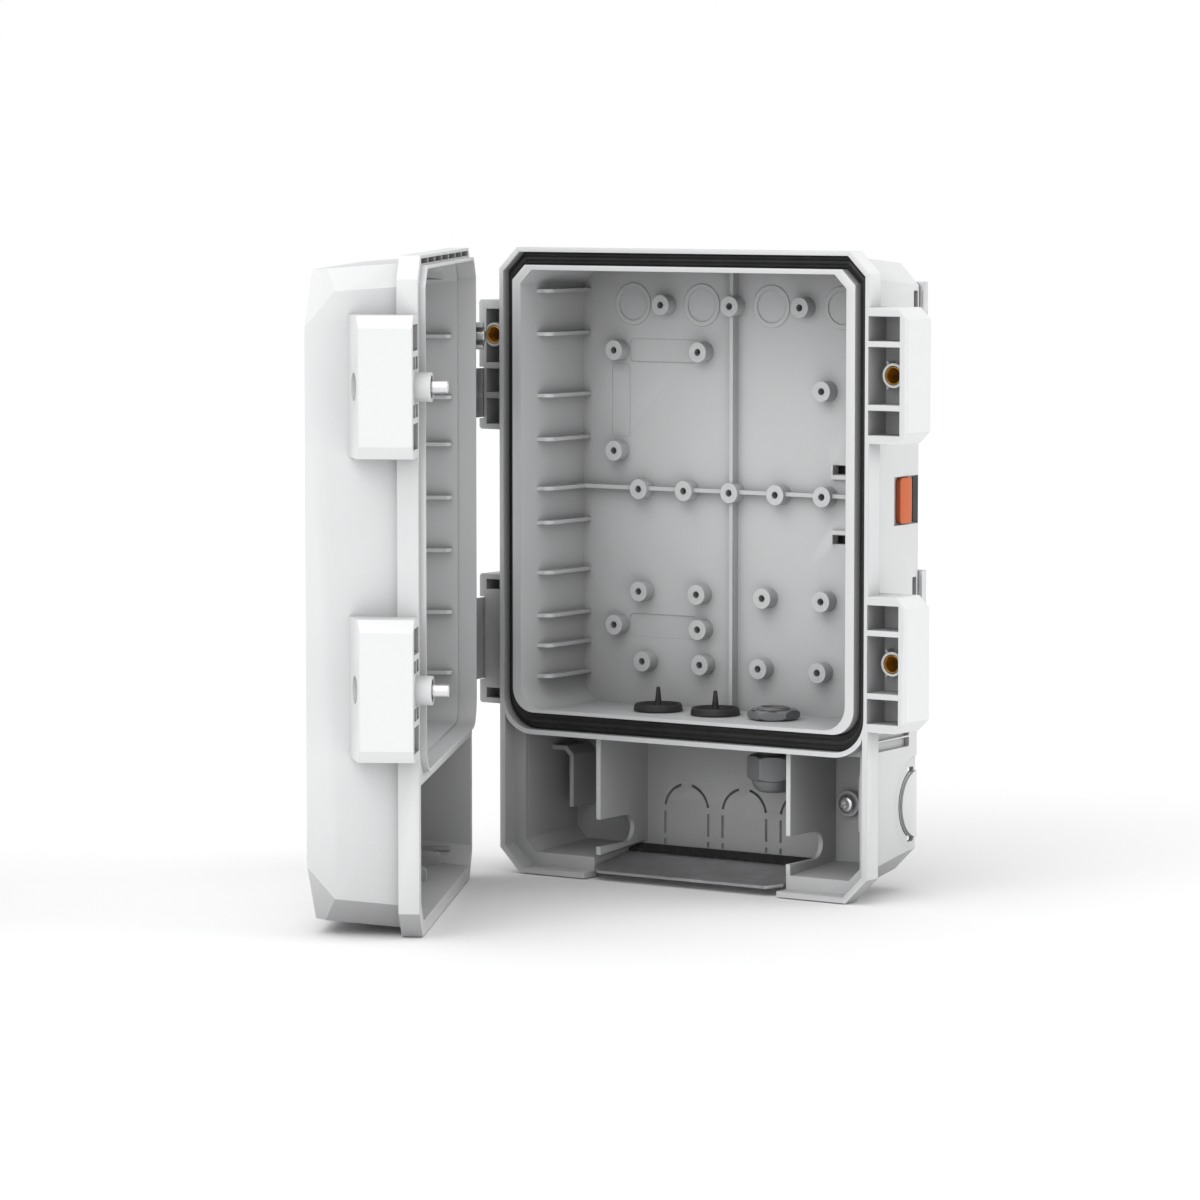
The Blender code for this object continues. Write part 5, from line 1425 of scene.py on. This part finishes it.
def ranged(tree, value, low, high, start=0.3, end=0.7):
    """Map a value's middle part to a range."""
    node = tree.nodes.new("ShaderNodeMapRange")
    node.inputs["From Min"].default_value = start
    node.inputs["From Max"].default_value = end
    node.inputs["To Min"].default_value = low
    node.inputs["To Max"].default_value = high
    tree.links.new(value, node.inputs["Value"])
    return node.outputs["Result"]


def blended(tree, factor, one, two):
    """Mix two colours, each a tuple or a socket."""
    node = tree.nodes.new("ShaderNodeMix")
    node.data_type = "RGBA"
    tree.links.new(factor, node.inputs[0])
    for socket, colour in ((node.inputs[6], one), (node.inputs[7], two)):
        if isinstance(colour, tuple):
            socket.default_value = (*colour, 1.0)
        else:
            tree.links.new(colour, socket)
    return node.outputs[2]


def painted_hollow_shade(tree, colour):
    """Painted shade: deepen the colour in hollows and corners, by ambient occlusion."""
    node = tree.nodes.new("ShaderNodeAmbientOcclusion")
    node.samples = 6
    node.inputs["Distance"].default_value = PAINTED_SHADE_REACH
    deep = ranged(tree, node.outputs["AO"], 0.0, 1.0, 0.15, 0.85)
    dark = tree.nodes.new("ShaderNodeMix")
    dark.data_type = "RGBA"
    dark.blend_type = "MULTIPLY"
    dark.inputs[0].default_value = 1.0
    tree.links.new(colour, dark.inputs[6])
    # painted shade: the colour falls to 0.45 of itself in the deepest hollows
    tone = blended(tree, deep, (0.45, 0.45, 0.455), (1.0, 1.0, 1.0))
    tree.links.new(tone, dark.inputs[7])
    return dark.outputs[2]


def edge_wear_and_highlight(tree, colour, lighter, start=0.53, end=0.60):
    """Lighten the convex edges a little: partly edge wear, partly a painted highlight."""
    geometry = tree.nodes.new("ShaderNodeNewGeometry")
    edge = ranged(tree, geometry.outputs["Pointiness"], 0.0, 1.0, start, end)
    return blended(tree, edge, colour, lighter)


def bumped(tree, shader, heights):
    """Chain bumps of (height socket, strength, distance) into the normal, over softly rounded edges."""
    edges = tree.nodes.new("ShaderNodeBevel")
    edges.samples = 4
    edges.inputs["Radius"].default_value = EDGE
    normal = edges.outputs["Normal"]
    for height, strength, distance in heights:
        node = tree.nodes.new("ShaderNodeBump")
        node.inputs["Strength"].default_value = strength
        node.inputs["Distance"].default_value = distance
        tree.links.new(height, node.inputs["Height"])
        tree.links.new(normal, node.inputs["Normal"])
        normal = node.outputs["Normal"]
    tree.links.new(normal, shader.inputs["Normal"])


def moulded(name, colour, dark, edge, roughness, grain, depth=0.00005, strength=0.35):
    """Moulded plastic: fine spark-eroded grain, faint flow marks, edges lighter by wear and a painted
    highlight, painted shade in hollows.
    """
    made, tree, shader, coords = graph(name)
    tone = ranged(tree, noise(tree, coords, 22, 4), 0.0, 1.0)
    speck = ranged(tree, noise(tree, coords, 900, 2), 0.0, 1.0, 0.35, 0.65)
    base = blended(tree, tone, colour, dark)
    mid = tuple((a * 2 + b) / 3 for a, b in zip(colour, dark))
    base = blended(tree, ranged(tree, speck, 0.0, 0.35, 0.0, 1.0), base, mid)
    # painted shade in hollows, over edges lightened partly by wear and partly by a painted highlight
    tree.links.new(painted_hollow_shade(tree, edge_wear_and_highlight(tree, base, edge)), shader.inputs["Base Color"])
    rough = ranged(tree, noise(tree, coords, 140, 4), roughness - 0.06, roughness + 0.08)
    tree.links.new(rough, shader.inputs["Roughness"])
    flow = noise(tree, coords, 45, 2)
    bumped(tree, shader, [(noise(tree, coords, grain, 3), strength, depth), (flow, 0.02, 0.0002)])
    return made


def rubber(name, colour, bloom):
    """Matt rubber with a fine grain and a pale bloom."""
    made, tree, shader, coords = graph(name)
    tone = ranged(tree, noise(tree, coords, 60, 5), 0.0, 1.0)
    # edges lightened partly by wear and partly by a painted highlight
    base = edge_wear_and_highlight(tree, blended(tree, tone, colour, bloom), (0.05, 0.05, 0.05), 0.52, 0.62)
    tree.links.new(base, shader.inputs["Base Color"])
    tree.links.new(ranged(tree, noise(tree, coords, 300, 3), 0.46, 0.66), shader.inputs["Roughness"])
    bumped(tree, shader, [(noise(tree, coords, 3200, 3), 0.5, 0.00006)])
    return made


def metal(name, colour, dark, roughness, stretch, scale=700, spread=0.12, flakes=None):
    """Metal with brushed or turned marks, tarnish, and zinc flakes where asked."""
    made, tree, shader, coords = graph(name)
    shader.inputs["Metallic"].default_value = 1.0
    marks = noise(tree, coords, scale, 4, stretch)
    base = blended(tree, ranged(tree, noise(tree, coords, 90, 4), 0.0, 1.0), colour, dark)
    if flakes:
        cells = tree.nodes.new("ShaderNodeTexVoronoi")
        cells.inputs["Scale"].default_value = flakes
        tree.links.new(coords, cells.inputs["Vector"])
        split = tree.nodes.new("ShaderNodeSeparateColor")
        tree.links.new(cells.outputs["Color"], split.inputs["Color"])
        base = blended(tree, ranged(tree, split.outputs[0], 0.0, 0.7, 0.0, 1.0), base, dark)
    # edge colour: edges lightened partly by wear and partly by a painted highlight
    light = tuple(min(1.0, part * 1.25) for part in colour)
    tree.links.new(edge_wear_and_highlight(tree, base, light), shader.inputs["Base Color"])
    rough = ranged(tree, marks, roughness - spread / 2, roughness + spread)
    tree.links.new(rough, shader.inputs["Roughness"])
    bumped(tree, shader, [(marks, 0.25, 0.00003)])
    return made


def open_cell(name):
    """Black open-cell foam."""
    made, tree, shader, coords = graph(name)
    cells = tree.nodes.new("ShaderNodeTexVoronoi")
    cells.inputs["Scale"].default_value = 900
    tree.links.new(coords, cells.inputs["Vector"])
    depth = ranged(tree, cells.outputs["Distance"], 0.0, 1.0, 0.0, 0.8)
    # the cell pits get the darker colour: painted shade in the pores
    base = blended(tree, depth, (0.006, 0.006, 0.006), (0.035, 0.035, 0.036))
    tree.links.new(base, shader.inputs["Base Color"])
    tree.links.new(ranged(tree, noise(tree, coords, 500, 3), 0.85, 1.0), shader.inputs["Roughness"])
    bumped(tree, shader, [(depth, 0.9, 0.0006), (noise(tree, coords, 400, 4), 0.5, 0.0005)])
    return made


PLASTICS = {  # main, darker and edge colours (edge wear and painted edge highlight), roughness, grain
    "light_grey_plastic": ((0.72, 0.725, 0.73), (0.69, 0.695, 0.70), (0.80, 0.805, 0.81), 0.48, 2600),
    "grey_nylon": ((0.27, 0.275, 0.28), (0.22, 0.225, 0.23), (0.36, 0.36, 0.365), 0.42, 1800),
    "black_plastic": ((0.018, 0.018, 0.019), (0.012, 0.012, 0.013), (0.045, 0.045, 0.045), 0.45, 2600),
    "orange_plastic": ((0.60, 0.105, 0.018), (0.54, 0.09, 0.014), (0.70, 0.17, 0.05), 0.42, 2600),
}
METALS = {  # main and darker colours, roughness, stretch and scale of the marks, their spread, flakes
    "brass": ((0.62, 0.37, 0.09), (0.45, 0.25, 0.05), 0.30, (1, 12, 1)),
    "steel": ((0.72, 0.72, 0.73), (0.58, 0.58, 0.59), 0.26, (1, 1, 14)),
    "zinc_sheet": ((0.62, 0.62, 0.63), (0.42, 0.42, 0.43), 0.42, (1, 6, 1), 300, 0.16, 420),
    "coated_steel": ((0.58, 0.585, 0.59), (0.48, 0.485, 0.49), 0.42, (8, 1, 1), 300),
}
FINISH = {name: moulded(name, *look) for name, look in PLASTICS.items()}
FINISH.update({name: metal(name, *look) for name, look in METALS.items()})
FINISH["black_rubber"] = rubber("black_rubber", (0.012, 0.012, 0.013), (0.022, 0.022, 0.023))
FINISH["foam"] = open_cell("foam")


# --- stage -------------------------------------------------------------------------------------
def make_stage():
    """Pale floor under the box's foot."""
    bm = bmesh.new()
    bmesh.ops.create_grid(bm, x_segments=24, y_segments=24, size=6.0)
    floor = bpy.data.objects.new("floor", mesh_of(bm))
    floor.location.z = CAD_BOX[0][2] - FLOOR_DROP
    made, tree, shader, coords = graph("pale_floor")
    tone = ranged(tree, noise(tree, coords, 3, 3), 0.0, 1.0)
    tree.links.new(blended(tree, tone, (0.92, 0.92, 0.92), (0.90, 0.90, 0.90)), shader.inputs["Base Color"])
    shader.inputs["Roughness"].default_value = 0.9
    shader.inputs["Specular IOR Level"].default_value = 0.0
    floor.data.materials.append(made)
    bpy.context.scene.collection.objects.link(floor)


def soft_sun(name, azimuth, elevation, angle, strength):
    """An even, soft light from a direction: azimuth 0 is in front and 90 on the right."""
    data = bpy.data.lights.new(name, "SUN")
    data.angle = math.radians(angle)
    data.energy = strength
    light = bpy.data.objects.new(name, data)
    around, up = math.radians(azimuth), math.radians(elevation)
    flat = math.cos(up)
    back = Vector((math.sin(around) * flat, -math.cos(around) * flat, math.sin(up)))
    light.rotation_euler = (-back).to_track_quat("-Z", "Y").to_euler()
    bpy.context.scene.collection.objects.link(light)


def make_light():
    """White studio surround with three soft lights."""
    world = bpy.data.worlds.new("studio")
    world.use_nodes = True
    tree = world.node_tree
    back = tree.nodes["Background"]
    back.inputs["Color"].default_value = (1.0, 1.0, 1.0, 1.0)
    seen = tree.nodes.new("ShaderNodeLightPath").outputs["Is Camera Ray"]
    tree.links.new(ranged(tree, seen, WORLD_STRENGTH, 1.0, 0.0, 1.0), back.inputs["Strength"])
    bpy.context.scene.world = world
    bpy.context.scene.view_settings.view_transform = "Standard"
    for light in LIGHTS:
        soft_sun(*light)


def make_camera():
    """Camera at the viewing angle: a little above, from the right of the open box."""
    data = bpy.data.cameras.new("camera")
    data.lens = 153.11
    data.sensor_width = 36.0
    camera = bpy.data.objects.new("camera", data)
    camera.location = (1.33185, -2.09031, 0.19752)
    camera.rotation_euler = (math.radians(85.008), 0.0, math.radians(34.212))
    bpy.context.scene.collection.objects.link(camera)
    bpy.context.scene.camera = camera


FLOOR_DROP = 0.0005
WORLD_STRENGTH = 0.50
LIGHTS = (  # name, azimuth, elevation, apparent angle, strength
    ("front", 3, 22, 60, 0.98),
    ("side", 118, 22, 44, 0.95),
    ("top", -20, 72, 70, 1.35),
)


def main():
    """Build everything."""
    make_camera()
    make_light()
    make_stage()
    make_base()
    make_cover()
    make_gasket()
    make_inserts()
    make_screws()
    make_hinges()
    make_plugs()
    make_gland()
    make_bracket()
    make_fixings()
    make_latch()
    make_plate()


main()
